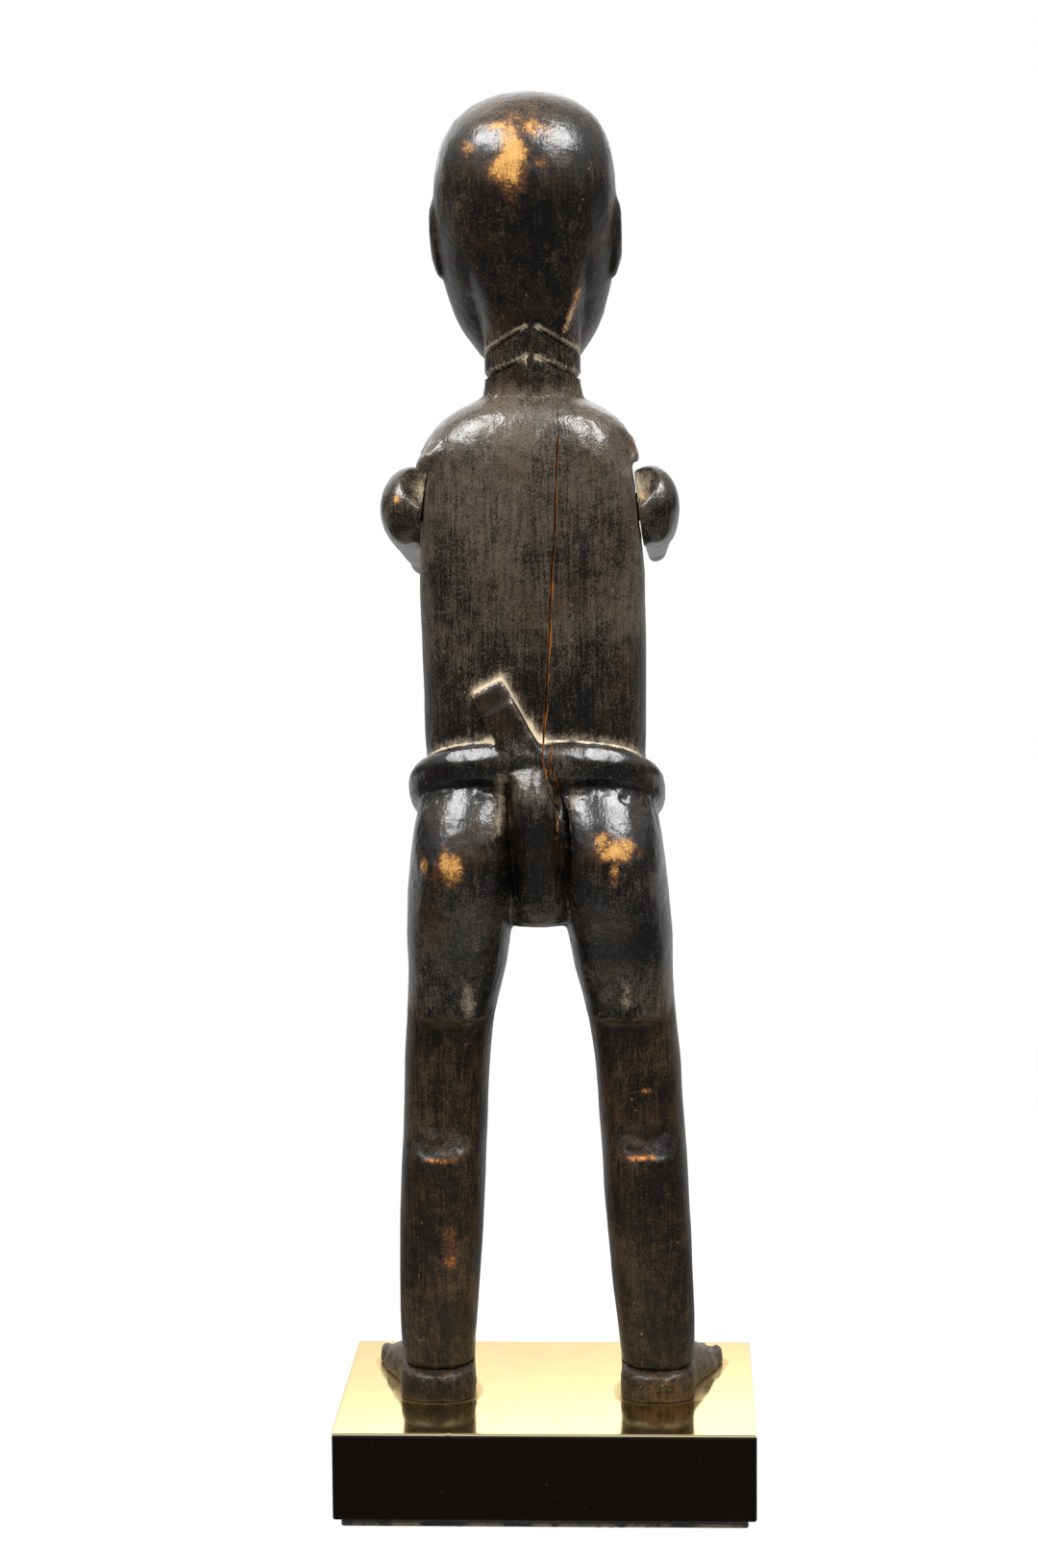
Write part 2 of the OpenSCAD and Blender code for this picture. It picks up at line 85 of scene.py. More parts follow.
def length(name, description, default, **more):
    return FloatProperty(name=name, description=description, default=default * MM,
                         unit="LENGTH", precision=5, **more)


def colour(name, description, default):
    return FloatVectorProperty(name=name, description=description, default=default,
                               subtype="COLOR", size=3, min=0, max=1)


def number(name, description, default, least, kind=FloatProperty):
    return kind(name=name, description=description, default=default, min=least)


class FigureCarving(bpy.types.PropertyGroup):
    """Sizes of the carved surface"""

    skin: length("Skin", "Spacing of the carved skin before it is thinned", 0.5, min=0.0002)
    facet: length("Facet", "Most that a knife facet moves the surface", 0.32)
    waver: length("Waver", "How far broad forms wander from a true curve", 0.35)
    groove: length("Groove", "Depth of the incised lines", 0.9)
    crack: length("Crack", "Depth of the drying crack down the back", 2.0)
    faces: number("Faces", "Triangles kept on the figure's body", 150000, 20000, IntProperty)
    arm_faces: number("Arm faces", "Triangles kept on each arm", 26000, 5000, IntProperty)


class FigureColours(bpy.types.PropertyGroup):
    """Colours of the wood, the stand and the stage"""

    soot: colour("Soot", "Oldest, blackest patina", (0.0034, 0.0028, 0.0021))
    # Ash also stands in for painted sheen where the dry mask lightens the toes, the flap's facet
    # and the upper torso
    ash: colour("Ash", "Dry grey film on the torso", (0.076, 0.063, 0.046))
    umber: colour("Umber", "Brown wood under the patina", (0.060, 0.034, 0.013))
    russet: colour("Russet", "Redder wood in broad patches", (0.052, 0.023, 0.008))
    fleck: colour("Fleck", "Small rubbed flecks", (0.12, 0.07, 0.033))
    speck: colour("Speck", "Bright specks", (0.34, 0.17, 0.065))
    stain: colour("Stain", "Stain round rubbed places", (0.09, 0.036, 0.011))
    honey: colour("Honey", "Half-rubbed wood", (0.24, 0.10, 0.022))
    tan: colour("Tan", "Bare wood where hands have rubbed", (0.47, 0.265, 0.075))
    ember: colour("Ember", "Bare wood on the legs", (0.58, 0.21, 0.045))
    rust: colour("Rust", "Fresh wood inside the crack", (0.62, 0.24, 0.04))
    heart: colour("Heart", "Wood deep in the crack", (0.10, 0.03, 0.008))
    dust: colour("Dust", "Pale residue in the recesses", (0.50, 0.41, 0.275))
    brass: colour("Brass", "Polished plate", (0.96, 0.82, 0.47))
    old_brass: colour("Old brass", "Duller clouds on the plate", (0.86, 0.70, 0.36))
    glint: colour("Glint", "Brass seen at a low angle", (0.87, 0.78, 0.61))
    # Brown spots on the plate, and the browning round the feet and at one spot on the edge
    tarnish: colour("Tarnish", "Brown bloom round the feet", (0.34, 0.22, 0.10))
    ebony: colour("Ebony", "Black lacquer of the block", (0.0030, 0.0017, 0.0011))
    rubbed: colour("Rubbed", "Lacquer along grain and edges", (0.008, 0.006, 0.005))
    nick: colour("Nick", "Nicks in the lacquer", (0.06, 0.05, 0.042))
    felt: colour("Felt", "Pad under the block", (0.018, 0.015, 0.012))
    hair: colour("Hair", "Raised hairs of the felt", (0.05, 0.042, 0.034))
    fray: colour("Fray", "Pale fibres on the pad's lower rim", (0.48, 0.40, 0.26))
    dowel: colour("Dowel", "Bare wood of the pegs", (0.40, 0.23, 0.10))
    dowel_rings: colour("Dowel rings", "Darker rings of the pegs", (0.20, 0.10, 0.04))
    steel: colour("Steel", "Foot screws", (0.56, 0.56, 0.58))
    steel_lines: colour("Steel lines", "Brushed lines on the screws", (0.38, 0.38, 0.40))
    floor: colour("Floor", "Studio floor", (0.86, 0.86, 0.86))


class FigureStage(bpy.types.PropertyGroup):
    """Light and camera"""

    fill: number("Fill", "Strength of the even light", 0.32, 0)
    key: number("Key", "Power of a soft box with a share of 1, in watts", 29.0, 0)
    lens: number("Lens", "Focal length in millimetres", 80.95, 10)


def carving():
    return bpy.context.scene.figure_carving


def colours():
    return bpy.context.scene.figure_colours


# Shader expressions


class Wire:
    """A socket in a node tree; arithmetic on it adds nodes."""

    def __init__(self, tree, socket):
        self.tree = tree
        self.socket = socket

    def node(self, kind, inputs=None, out=0, **settings):
        """Adds a node, sets it up, fills its sockets and returns the wire from one output."""
        made = self.tree.nodes.new(kind)
        for key, value in settings.items():
            setattr(made, key, value)
        for key, value in (inputs or {}).items():
            found = [s for s in made.inputs if s.identifier == key]
            found = found or [s for s in made.inputs if s.name == key and s.enabled]
            fill(found[0], value)
        sockets = [s for s in made.outputs if s.identifier == out or s.name == out]
        return Wire(self.tree, sockets[0] if isinstance(out, str) else made.outputs[out])

    def math(self, operation, *others, clamp=False):
        sockets = dict(zip(("Value", "Value_001", "Value_002"), (self, *others)))
        return self.node("ShaderNodeMath", sockets, operation=operation, use_clamp=clamp)

    def __add__(self, other):
        return self.math("ADD", other)

    __radd__ = __add__

    def __sub__(self, other):
        return self.math("SUBTRACT", other)

    def __rsub__(self, other):
        return self.node("ShaderNodeMath", {"Value": other, "Value_001": self},
                         operation="SUBTRACT")

    def __mul__(self, other):
        return self.math("MULTIPLY", other)

    __rmul__ = __mul__

    def ramp(self, low, high):
        """0 below low, 1 above high, eased between."""
        return self.node("ShaderNodeMapRange", {"Value": self, "From Min": low, "From Max": high},
                         interpolation_type="SMOOTHSTEP", clamp=True)

    def mix(self, low, high):
        """A colour from low to high as this value goes from 0 to 1."""
        return self.node("ShaderNodeMix", {"Factor_Float": self, "A_Color": low, "B_Color": high},
                         out="Result_Color", data_type="RGBA", clamp_factor=True)

    def stretch(self, factors):
        return self.node("ShaderNodeVectorMath", {"Vector": self, "Vector_001": factors},
                         operation="MULTIPLY")

    def axis(self, letter):
        return self.node("ShaderNodeSeparateXYZ", {"Vector": self}, out=letter)

    def noise(self, scale, detail=3.0, rough=0.55, warp=0.0):
        return self.node("ShaderNodeTexNoise", {"Vector": self, "Scale": scale, "Detail": detail,
                                                "Roughness": rough, "Distortion": warp})

    def cells(self, scale):
        """Distance to the nearest of scattered points."""
        return self.node("ShaderNodeTexVoronoi", {"Vector": self, "Scale": scale}, out="Distance")


def start(name):
    """A new material, its place wire in millimetres and its surface shader."""
    made = bpy.data.materials.new(name)
    made.use_nodes = True
    tree = made.node_tree
    shader = tree.nodes["Principled BSDF"]
    place = Wire(tree, None).node("ShaderNodeTexCoord", out="Object")
    return made, place.stretch((1000, 1000, 1000)), shader


def fill(socket, value):
    """Links a wire to a socket, or sets the socket to a number or a colour."""
    if isinstance(value, Wire):
        value.tree.links.new(value.socket, socket)
    elif socket.type == "RGBA":
        socket.default_value = (*value, 1)
    else:
        socket.default_value = value


def feed(shader, **sockets):
    """Fills the shader's sockets; words in names are joined by _."""
    for key, value in sockets.items():
        fill(shader.inputs[key.replace("_", " ")], value)


def mask(place, name):
    return place.node("ShaderNodeAttribute", out="Fac", attribute_name=name)


def rays(wire):
    """1 for what the camera sees, and 1 for what shows in reflections."""
    return [wire.node("ShaderNodeLightPath", out=f"Is {kind} Ray") for kind in ("Camera", "Glossy")]


def bumped(height, distance, strength=1.0):
    return height.node("ShaderNodeBump", {"Height": height, "Distance": distance * MM,
                                          "Strength": strength})


def blend(made, amount, low, high):
    """Sets a material's surface from one shader to another as amount goes from 0 to 1."""
    tree = made.node_tree
    both = amount.node("ShaderNodeMixShader", {"Fac": amount, "Shader": Wire(tree, low.outputs[0]),
                                               "Shader_001": Wire(tree, high.outputs[0])})
    tree.links.new(both.socket, tree.nodes["Material Output"].inputs["Surface"])


# Materials


def patina(name, seed=0.0):
    """Black waxed patina over brown wood, rubbed bare in places, with dust and painted shade in its
    recesses, and painted sheen in places.
    """
    tint = colours()
    made, place, shader = start(name)
    place = place.node("ShaderNodeVectorMath", {"Vector": place, "Vector_001": (seed, seed, seed)},
                       operation="ADD")
    grain = place.stretch((1, 1, 0.05))
    fibre = grain.noise(1.5, 4, 0.65)
    streak = grain.noise(0.34, 3, 0.55)
    clouds = place.noise(0.045, 3, 0.55)
    mottle = place.noise(0.3, 6, 0.66)
    crumbs = place.noise(1.9, 3, 0.6)
    names = ("brown", "dry_and_sheen", "wear", "residue", "recess_shade", "proud", "wax")
    brown, dry_and_sheen, worn, dusty, recess_shade, proud, waxed = (mask(place, name) for name in names)
    # Patina, darkened in recesses as painted shade; the dry mask also lightens a few places as
    # painted sheen
    show = clouds * 1.8 + streak * 0.5 + mottle * 1.3 + fibre * 1.7 + crumbs * 2.6 - 4.2
    show = show + dry_and_sheen * 0.7 + brown * 0.08 + 0.1 + proud * 0.2 - recess_shade * 0.4
    tone = show.mix(tint.soot, brown.mix(tint.ash, tint.umber))
    rusty = (place.noise(0.06, 4, 0.6) + (fibre - 0.5) * 0.4).ramp(0.5, 0.75)
    tone = (rusty * 0.4).mix(tone, tint.russet)
    # Small rubbed spots and bright specks
    flecks = (crumbs + mottle * 0.5 + proud * 0.25).ramp(0.96, 1.12) * 0.5
    tone = flecks.mix(tone, tint.fleck)
    specks = (crumbs * 0.12 - place.cells(0.2)).ramp(-0.02, 0.03) * mottle.ramp(0.48, 0.56)
    tone = (specks * 0.7).mix(tone, tint.speck)
    # Rubbed bare
    edge = worn + (mottle - 0.5) * 1.3 + (crumbs - 0.5) * 0.8 + (streak - 0.5) * 0.4
    stain = edge.ramp(0.2, 0.55) * worn.ramp(0.05, 0.4)
    tone = (stain * 0.6).mix(tone, tint.stain)
    bare = edge.ramp(0.48, 0.8)
    fresh = brown.ramp(0.6, 0.9).mix(tint.tan, tint.ember)
    rubbed = (edge * 0.6 + fibre * 0.5 + crumbs * 0.5).ramp(0.7, 1.25)
    tone = bare.mix(tone, rubbed.mix(tint.honey, fresh))
    # Dust in recesses
    threads = grain.noise(1.1, 1, 0.5)
    powder = dusty + (crumbs - 0.5) * 0.8 + (mottle - 0.5) * 0.6 + (threads - 0.5) * 0.35
    powder = powder.ramp(0.1, 1.15) * dusty.ramp(0.02, 0.2)
    tone = powder.mix(tone, tint.dust)
    # Wax
    wax = waxed * (1.75 - mottle * 1.2 - crumbs * 0.6) - bare * 0.4 - powder
    dents = place.noise(0.22, 2, 0.5)
    pits = place.noise(1.5, 1, 0.5)
    relief = bumped(dents + pits * (0.25 + dry_and_sheen * 0.2) + threads * 0.35, 0.2)
    gloss = made.node_tree.nodes.new("ShaderNodeBsdfPrincipled")
    for layer, rough, shine in ((shader, 0.4 + mottle * 0.2, 0.16),
                                (gloss, 0.22 + mottle * 0.1, 0.6)):
        feed(layer, Base_Color=tone, Roughness=rough, Specular_IOR_Level=shine, Normal=relief)
    blend(made, wax, shader, gloss)
    return made


def split_wood():
    """Fresh wood inside the crack, with darker patches."""
    tint = colours()
    made, place, shader = start("split_wood")
    grain = place.stretch((1, 1, 0.04)).noise(1.6, 4, 0.6)
    patch = place.noise(0.12, 3, 0.6)
    tone = (grain * 0.5 + patch * 0.8).ramp(0.5, 0.85).mix(tint.heart, tint.rust)
    feed(shader, Base_Color=tone, Roughness=0.75, Normal=bumped(grain, 0.3))
    return made


def polished_brass():
    """Bright sheet with fine scratches and brown spots, browner and rougher where the browning mask
    says.
    """
    tint = colours()
    made, place, shader = start("polished_brass")
    browning = mask(place, "browning")
    fine = place.noise(0.16, 5, 0.6)
    speck = place.noise(0.9, 2, 0.5)
    spots = (place.noise(0.05, 2, 0.5) * 0.6 + speck * 0.5).ramp(0.62, 0.72) * 0.12
    scratch = place.stretch((0.05, 1.4, 1)).noise(2.2, 2, 0.5)
    rings = (browning + (fine - 0.5) * 0.5).ramp(0.25, 0.9)
    tone = (rings * 0.62 + spots).mix(tint.brass, tint.tarnish)
    tone = (fine.ramp(0.45, 0.8) * 0.12).mix(tone, tint.old_brass)
    feed(shader, Base_Color=tone, Metallic=1.0, Specular_Tint=tint.glint,
         Roughness=0.075 + fine * 0.05 + rings * 0.22 + scratch.ramp(0.6, 0.75) * 0.04,
         Normal=bumped(fine * 0.7 + scratch * 0.1, 0.02, 0.5))
    return made


def black_lacquer():
    """Black satin lacquer with faint grain and a few nicks."""
    tint = colours()
    made, place, shader = start("black_lacquer")
    grain = place.stretch((0.06, 1, 1)).noise(0.8, 4, 0.6)
    patch = place.noise(0.04, 4, 0.6)
    nick = place.noise(0.7, 2, 0.5).ramp(0.74, 0.78)
    edge = mask(place, "proud")
    lighter = (grain * 0.4 + patch * 0.4 + edge * 0.3).ramp(0.4, 0.95)
    tone = lighter.mix(tint.ebony, tint.rubbed)
    tone = (nick * 0.5).mix(tone, tint.nick)
    feed(shader, Base_Color=tone, Roughness=0.34 + patch * 0.16 + nick * 0.2,
         Specular_IOR_Level=0.04, Normal=bumped(grain * 0.6 + patch * 0.2, 0.08, 0.5))
    return made


def pressed_felt():
    """Dark felt whose lower rim is frayed and pale."""
    tint = colours()
    made, place, shader = start("pressed_felt")
    hair = place.stretch((1, 1, 0.6)).noise(2.2, 5, 0.7, 1.2)
    tone = hair.ramp(0.3, 0.75).mix(tint.felt, tint.hair)
    frayed = (1 - place.axis("Z").ramp(0.3, 1.5)) * place.noise(0.09, 4, 0.6).ramp(0.46, 0.58)
    tone = frayed.mix(tone, tint.fray)
    feed(shader, Base_Color=tone, Roughness=0.95, Sheen_Weight=0.4, Normal=bumped(hair, 0.5))
    return made


def dowel_wood():
    """Turned bare wood with rings across the peg."""
    tint = colours()
    made, place, shader = start("dowel_wood")
    rings = place.stretch((0.08, 1, 1)).noise(1.4, 4, 0.6)
    tone = rings.ramp(0.3, 0.75).mix(tint.dowel_rings, tint.dowel)
    feed(shader, Base_Color=tone, Roughness=0.6 + rings * 0.1, Normal=bumped(rings, 0.15))
    return made


def screw_steel():
    """Brushed steel."""
    tint = colours()
    made, place, shader = start("screw_steel")
    brushed = place.stretch((1, 1, 0.1)).noise(3.0, 3, 0.6)
    tone = brushed.ramp(0.3, 0.8).mix(tint.steel_lines, tint.steel)
    feed(shader, Base_Color=tone, Metallic=1.0, Roughness=0.3 + brushed * 0.15,
         Normal=bumped(brushed, 0.03))
    return made


# Carving tools


def add(name, data):
    made = bpy.data.objects.new(name, data)
    bpy.context.scene.collection.objects.link(made)
    return made


def add_mesh(name, bm):
    """An object of what a bmesh holds."""
    mesh = bpy.data.meshes.new(name)
    bm.to_mesh(mesh)
    bm.free()
    return add(name, mesh)


def keep(thing):
    """Makes what the modifiers give the object's own mesh."""
    graph = bpy.context.evaluated_depsgraph_get()
    mesh = bpy.data.meshes.new_from_object(thing.evaluated_get(graph))
    old = thing.data
    thing.modifiers.clear()
    thing.data = mesh
    mesh.name = thing.name
    bpy.data.meshes.remove(old)
    return mesh


def places(mesh):
    """Vertex places in millimetres."""
    flat = np.empty(len(mesh.vertices) * 3, np.float32)
    mesh.vertices.foreach_get("co", flat)
    return flat.reshape(-1, 3).astype(float) / MM


def facing(mesh):
    flat = np.empty(len(mesh.vertices) * 3, np.float32)
    mesh.vertex_normals.foreach_get("vector", flat)
    return flat.reshape(-1, 3).astype(float)


def move_to(mesh, co):
    mesh.vertices.foreach_set("co", (co * MM).astype(np.float32).ravel())
    mesh.update()


def note(mesh, name, values):
    """Keeps one number for each vertex, for the materials to read."""
    made = mesh.attributes.new(name, "FLOAT", "POINT")
    made.data.foreach_set("value", np.clip(values, 0, 1).astype(np.float32))


def ease(low, high, values):
    t = np.clip((values - low) / (high - low), 0, 1)
    return t * t * (3 - 2 * t)


def nearest(points, co):
    """Distance from each place to the nearest of the points, and which it is."""
    tree = KDTree(len(points))
    for i, p in enumerate(points):
        tree.insert(p, i)
    tree.balance()
    found = [tree.find(p) for p in co]
    return np.array([f[2] for f in found]), np.array([f[1] for f in found])


def pairs_of(mesh):
    flat = np.empty(len(mesh.edges) * 2, np.int32)
    mesh.edges.foreach_get("vertices", flat)
    return flat.reshape(-1, 2)


def relax(co, pairs, amount, rounds):
    """Draws each place toward its neighbours' mean, where the amount is above 0."""
    amount = np.broadcast_to(amount, len(co))
    pairs = pairs[(amount[pairs] > 0).any(1)]
    used, local = np.unique(pairs, return_inverse=True)
    a, b = local.reshape(-1, 2).T
    n = len(used)
    count = np.bincount(local.ravel(), minlength=n)[:, None]
    pull = 0.5 * amount[used][:, None]
    part = co[used]
    for _ in range(rounds):
        total = [np.bincount(a, part[b, k], n) + np.bincount(b, part[a, k], n) for k in range(3)]
        part = part + pull * (np.stack(total, 1) / count - part)
    co = co.copy()
    co[used] = part
    return co


def even_copy(node, name, spacing):
    """A copy of a CAD node with an even skin, and points along its sharp edges."""
    bm = bmesh.new()
    bm.from_mesh(NODES[node].data)
    bmesh.ops.remove_doubles(bm, verts=bm.verts, dist=1e-6)
    crisp = []
    for edge in bm.edges:
        if edge.calc_face_angle(0.0) > 0.45:
            a, b = (v.co / MM for v in edge.verts)
            steps = max(1, int((b - a).length / 0.6))
            crisp += [a.lerp(b, k / steps) for k in range(steps + 1)]
    made = add_mesh(name, bm)
    skin = made.modifiers.new("even skin", "REMESH")
    skin.mode = "VOXEL"
    skin.voxel_size = spacing
    keep(made)
    return made, crisp


def knife_facets(co, normals, strength, spacing, stretch, limit, seed):
    """Flattens patches of the surface, longer along the grain, as a knife leaves them."""
    rng = np.random.default_rng(seed)
    squeeze = np.array([1, 1, 1 / stretch])
    span = (co.max(0) - co.min(0)).max()
    count = int(min(len(co) / 30, 3.2 * span ** 2 / (spacing ** 2 * stretch)))
    seeds = co[rng.choice(len(co), count, replace=False)]
    cell = nearest(seeds * squeeze, co * squeeze)[1]
    share = np.maximum(np.bincount(cell, minlength=count), 1)
    middle = np.stack([np.bincount(cell, co[:, k], count) / share for k in range(3)], 1)
    axis = np.stack([np.bincount(cell, normals[:, k], count) / share for k in range(3)], 1)
    axis /= np.linalg.norm(axis, axis=1, keepdims=True) + 1e-9
    agree = (normals * axis[cell]).sum(1)
    height = ((co - middle[cell]) * axis[cell]).sum(1)
    move = np.clip(-height * strength, -limit, limit) * ease(0.6, 0.9, agree)
    return co + normals * move[:, None]


def wander(co, normals, amount, size, seed):
    """Slow unevenness of a hand-made form."""
    shift = Vector((seed, 2.3 * seed, 0.7 * seed))
    wave = np.array([noise.noise(Vector(p) / size + shift) for p in co])
    return co + normals * (wave * amount)[:, None]


def shave(co, point, normal, reach):
    """Flattens what stands past a plane, within reach of the point."""
    normal = np.array(normal) / np.linalg.norm(normal)
    off = (co - np.array(point)) @ normal
    near = ease(reach, 0.6 * reach, np.linalg.norm(co - np.array(point), axis=1))
    return co - (near * np.maximum(off, 0))[:, None] * normal


def flatten(co, where, normal, depth):
    """Takes the part that stands farthest along a normal down to a plane."""
    normal = np.array(normal) / np.linalg.norm(normal)
    off = co @ normal
    over = np.maximum(off - off[where > 0.5].max() + depth, 0) * where
    return co - over[:, None] * normal


def thin(thing, faces):
    """Fewer triangles where the surface is plain."""
    mesh = thing.data
    now = sum(len(p.vertices) - 2 for p in mesh.polygons)
    if now > faces:
        less = thing.modifiers.new("thin", "DECIMATE")
        less.ratio = faces / now
        keep(thing)


def touch(tree, origin, aim):
    """Where a line from origin toward aim first meets the surface, in millimetres."""
    origin, aim = Vector(origin) * MM, Vector(aim) * MM
    place, normal, _, _ = tree.ray_cast(origin, (aim - origin).normalized())
    return (place / MM, normal) if place else None


def draw_on(tree, points, side, shake=0.0):
    """Points (x, z) laid on the back or the front of the surface, close together."""
    hits = []
    for (xa, za), (xb, zb) in zip(points, points[1:]):
        steps = max(1, int(math.hypot(xb - xa, zb - za) / 1.2))
        for k in range(steps):
            x, z = xa + (xb - xa) * k / steps, za + (zb - za) * k / steps
            x += shake * noise.noise(Vector((0.5, 0.5, z / 3.5)))
            hits.append(touch(tree, (x, 120 * side, z), (x, 0, z)))
    x, z = points[-1]
    hits.append(touch(tree, (x, 120 * side, z), (x, 0, z)))
    return [h for h in hits if h]


def wedge(bm, hits, width, depth, slot=0, lean=0.0):
    """A closed wedge along the hits, whose edge cuts to the given depth, leaning to one side."""
    n = len(hits)
    if n < 2:
        return
    lift = 0.7
    tips = 0.25
    rings = []
    for i, (p, normal) in enumerate(hits):
        along = hits[min(i + 1, n - 1)][0] - hits[max(i - 1, 0)][0]
        side = normal.cross(along).normalized()
        t = i / (n - 1)
        taper = tips + (1 - tips) * min(1, 5 * t, 5 * (1 - t))
        wide = (width(t) if callable(width) else width) * taper / 2
        deep = max(depth * taper, 0.15)
        top = wide * (deep + lift) / deep
        foot = p - normal * deep + side * lean * wide
        corners = (p + side * top + normal * lift, p - side * top + normal * lift, foot)
        rings.append([bm.verts.new(c * MM) for c in corners])
    made = [bm.faces.new(rings[0]), bm.faces.new(rings[-1])]
    for a, b in zip(rings, rings[1:]):
        for k in range(3):
            j = (k + 1) % 3
            made.append(bm.faces.new((a[k], a[j], b[j], b[k])))
    for face in made:
        face.material_index = slot


def cut(thing, strokes):
    """Cuts wedges out of a carving. Each stroke is (hits, width, depth, slot, lean)."""
    for stroke in strokes:
        bm = bmesh.new()
        wedge(bm, *stroke)
        if not bm.faces:
            bm.free()
            continue
        bmesh.ops.recalc_face_normals(bm, faces=bm.faces)
        knife = add_mesh("knife", bm)
        mesh = knife.data
        for slot in thing.data.materials:
            mesh.materials.append(slot)
        bite = thing.modifiers.new("cut", "BOOLEAN")
        bite.operation = "DIFFERENCE"
        bite.solver = "MANIFOLD"
        bite.material_mode = "INDEX"
        bite.object = knife
        keep(thing)
        bpy.data.objects.remove(knife)
        bpy.data.meshes.remove(mesh)


def surface_tree(thing):
    mesh = thing.data
    return BVHTree.FromPolygons([v.co for v in mesh.vertices],
                                [tuple(p.vertices) for p in mesh.polygons])


def hollows(co, normals, pairs):
    """How far each place lies in a recess and on an edge, from 0 to 1."""
    fine = ((relax(co, pairs, 1.0, 8) - co) * normals).sum(1)
    wide = ((relax(co, pairs, 1.0, 60) - co) * normals).sum(1)
    return (ease(0.03, 0.22, fine) * 0.6 + ease(0.08, 0.7, wide) * 0.7,
            ease(0.03, 0.2, -fine) * 0.6 + ease(0.1, 0.6, -wide) * 0.6)


def begin_skin(node, name, spacing):
    """An even copy of a node, its places, its edges' ends and how far sharp edges are."""
    thing, crisp = even_copy(node, name, spacing)
    co = places(thing.data)
    return thing, co, pairs_of(thing.data), nearest(crisp, co)[0]


def finish_skin(thing, co, pairs, faces, *finishes):
    """Settles and thins a carved skin. Returns its recesses and edges, by place."""
    move_to(thing.data, co)
    relief = hollows(co, facing(thing.data), pairs)
    thin(thing, faces)
    thing.data.materials.clear()
    for finish in finishes:
        thing.data.materials.append(finish)
    return relief


def note_relief(mesh, known, relief):
    """Notes the recesses, as painted shade, and the edges on the cut skin. Returns its places and
    recesses.
    """
    co = places(mesh)
    at = nearest(known, co)[1]
    recess, edge = (values[at] for values in relief)
    # The recess mask darkens the patina in recesses as painted shade
    note(mesh, "recess_shade", recess)
    note(mesh, "proud", edge)
    return co, recess


def round_over(mesh, degrees):
    mesh.shade_smooth()
    mesh.set_sharp_from_angle(angle=math.radians(degrees))


def blobs(co, spots):
    """Soft patches (x, z, half width, half height, amount) seen from the back."""
    total = np.zeros(len(co))
    for x, z, rx, rz, amount in spots:
        far = ((co[:, 0] - x) / rx) ** 2 + ((co[:, 2] - z) / rz) ** 2
        total = np.maximum(total, amount * np.exp(-0.7 * far))
    return total


# Lines seen on the figure's back, as (x, z) in millimetres
CRACK = [(-5.4, 320.5), (-5.2, 308), (-4.9, 294.6), (-4.0, 278.6), (-3.3, 267), (-2.8, 257),
         (-1.9, 241), (-1.3, 230), (-0.6, 221.5), (-0.4, 217), (-1.6, 211)]
BELT_CRACK = [(-3.0, 221.5), (-2.6, 216.8), (-2.3, 211.5)]
FLAP_SPLIT = [(-3.4, 214), (-4.4, 211), (-5.6, 206), (-6.7, 200), (-7.3, 194), (-7.6, 186),
              (-7.7, 180)]
SLIVERS = [[(-1.9, 211.5), (-4.3, 206.6)], [(-3.0, 205.4), (-5.2, 200.8)],
           [(-2.7, 199.6), (-4.8, 195.2)]]
FLAP_EDGE = [(10.3, 208), (9.8, 203), (9.4, 195), (8.8, 185), (8.5, 176)]
TAIL_FOOT, TAIL_WAY = (7.05, 220.8), (0.469, 0.883)
# Lines round the neck: height at the sides, height at the back and the first angle
NECK_LINES = [(330.2, 338.4, 4), (323.6, 329.8, -50)]
# Upright axes of the neck and of the left ankle, as (x, y)
NECK_AXIS, ANKLE_AXIS = (2.6, 1), (32.3, 2)
# Strength of the knife facets between two heights; later rows win
KNIFE_BANDS = [(170, 212, 1.0), (296, 320, 0.8), (0, 140, 0.55), (0, PLATE_TOP + 16, 0.25)]
# Dust beside lines on the back: path, reach and amount
DUST = [([(19.0, 235.2), (11.2, 239.4)], 1.6, 0.9), ([(11.2, 239.4), (2.4, 223.8)], 1.1, 0.85),
        ([(19.9, 234.8), (11.2, 239.4), (2.4, 223.8)], 3.2, 0.36),
        ([(4.0, 226.8), (1.6, 222.4), (-0.6, 221.8)], 1.6, 1.1),
        ([(15.0, 225.4), (12.6, 220.5)], 0.8, 0.6),
        ([(11.6, 211), (11.7, 203), (12.4, 196)], 1.5, 0.62),
        ([(-7.9, 198), (-7.7, 185)], 0.5, 0.5), ([(-9.6, 343), (-7.2, 336.5)], 0.8, 0.6)]
# Broken edges, as dust
BROKEN = [([(-3.4, 210.5), (-4.5, 201), (-4.2, 194)], 0.8, 0.6),
          ([(-11.0, 347), (-6.8, 336)], 1.2, 0.75),
          ([(-24.1, 310), (-25.6, 306), (-27.2, 301)], 0.6, 0.66)]
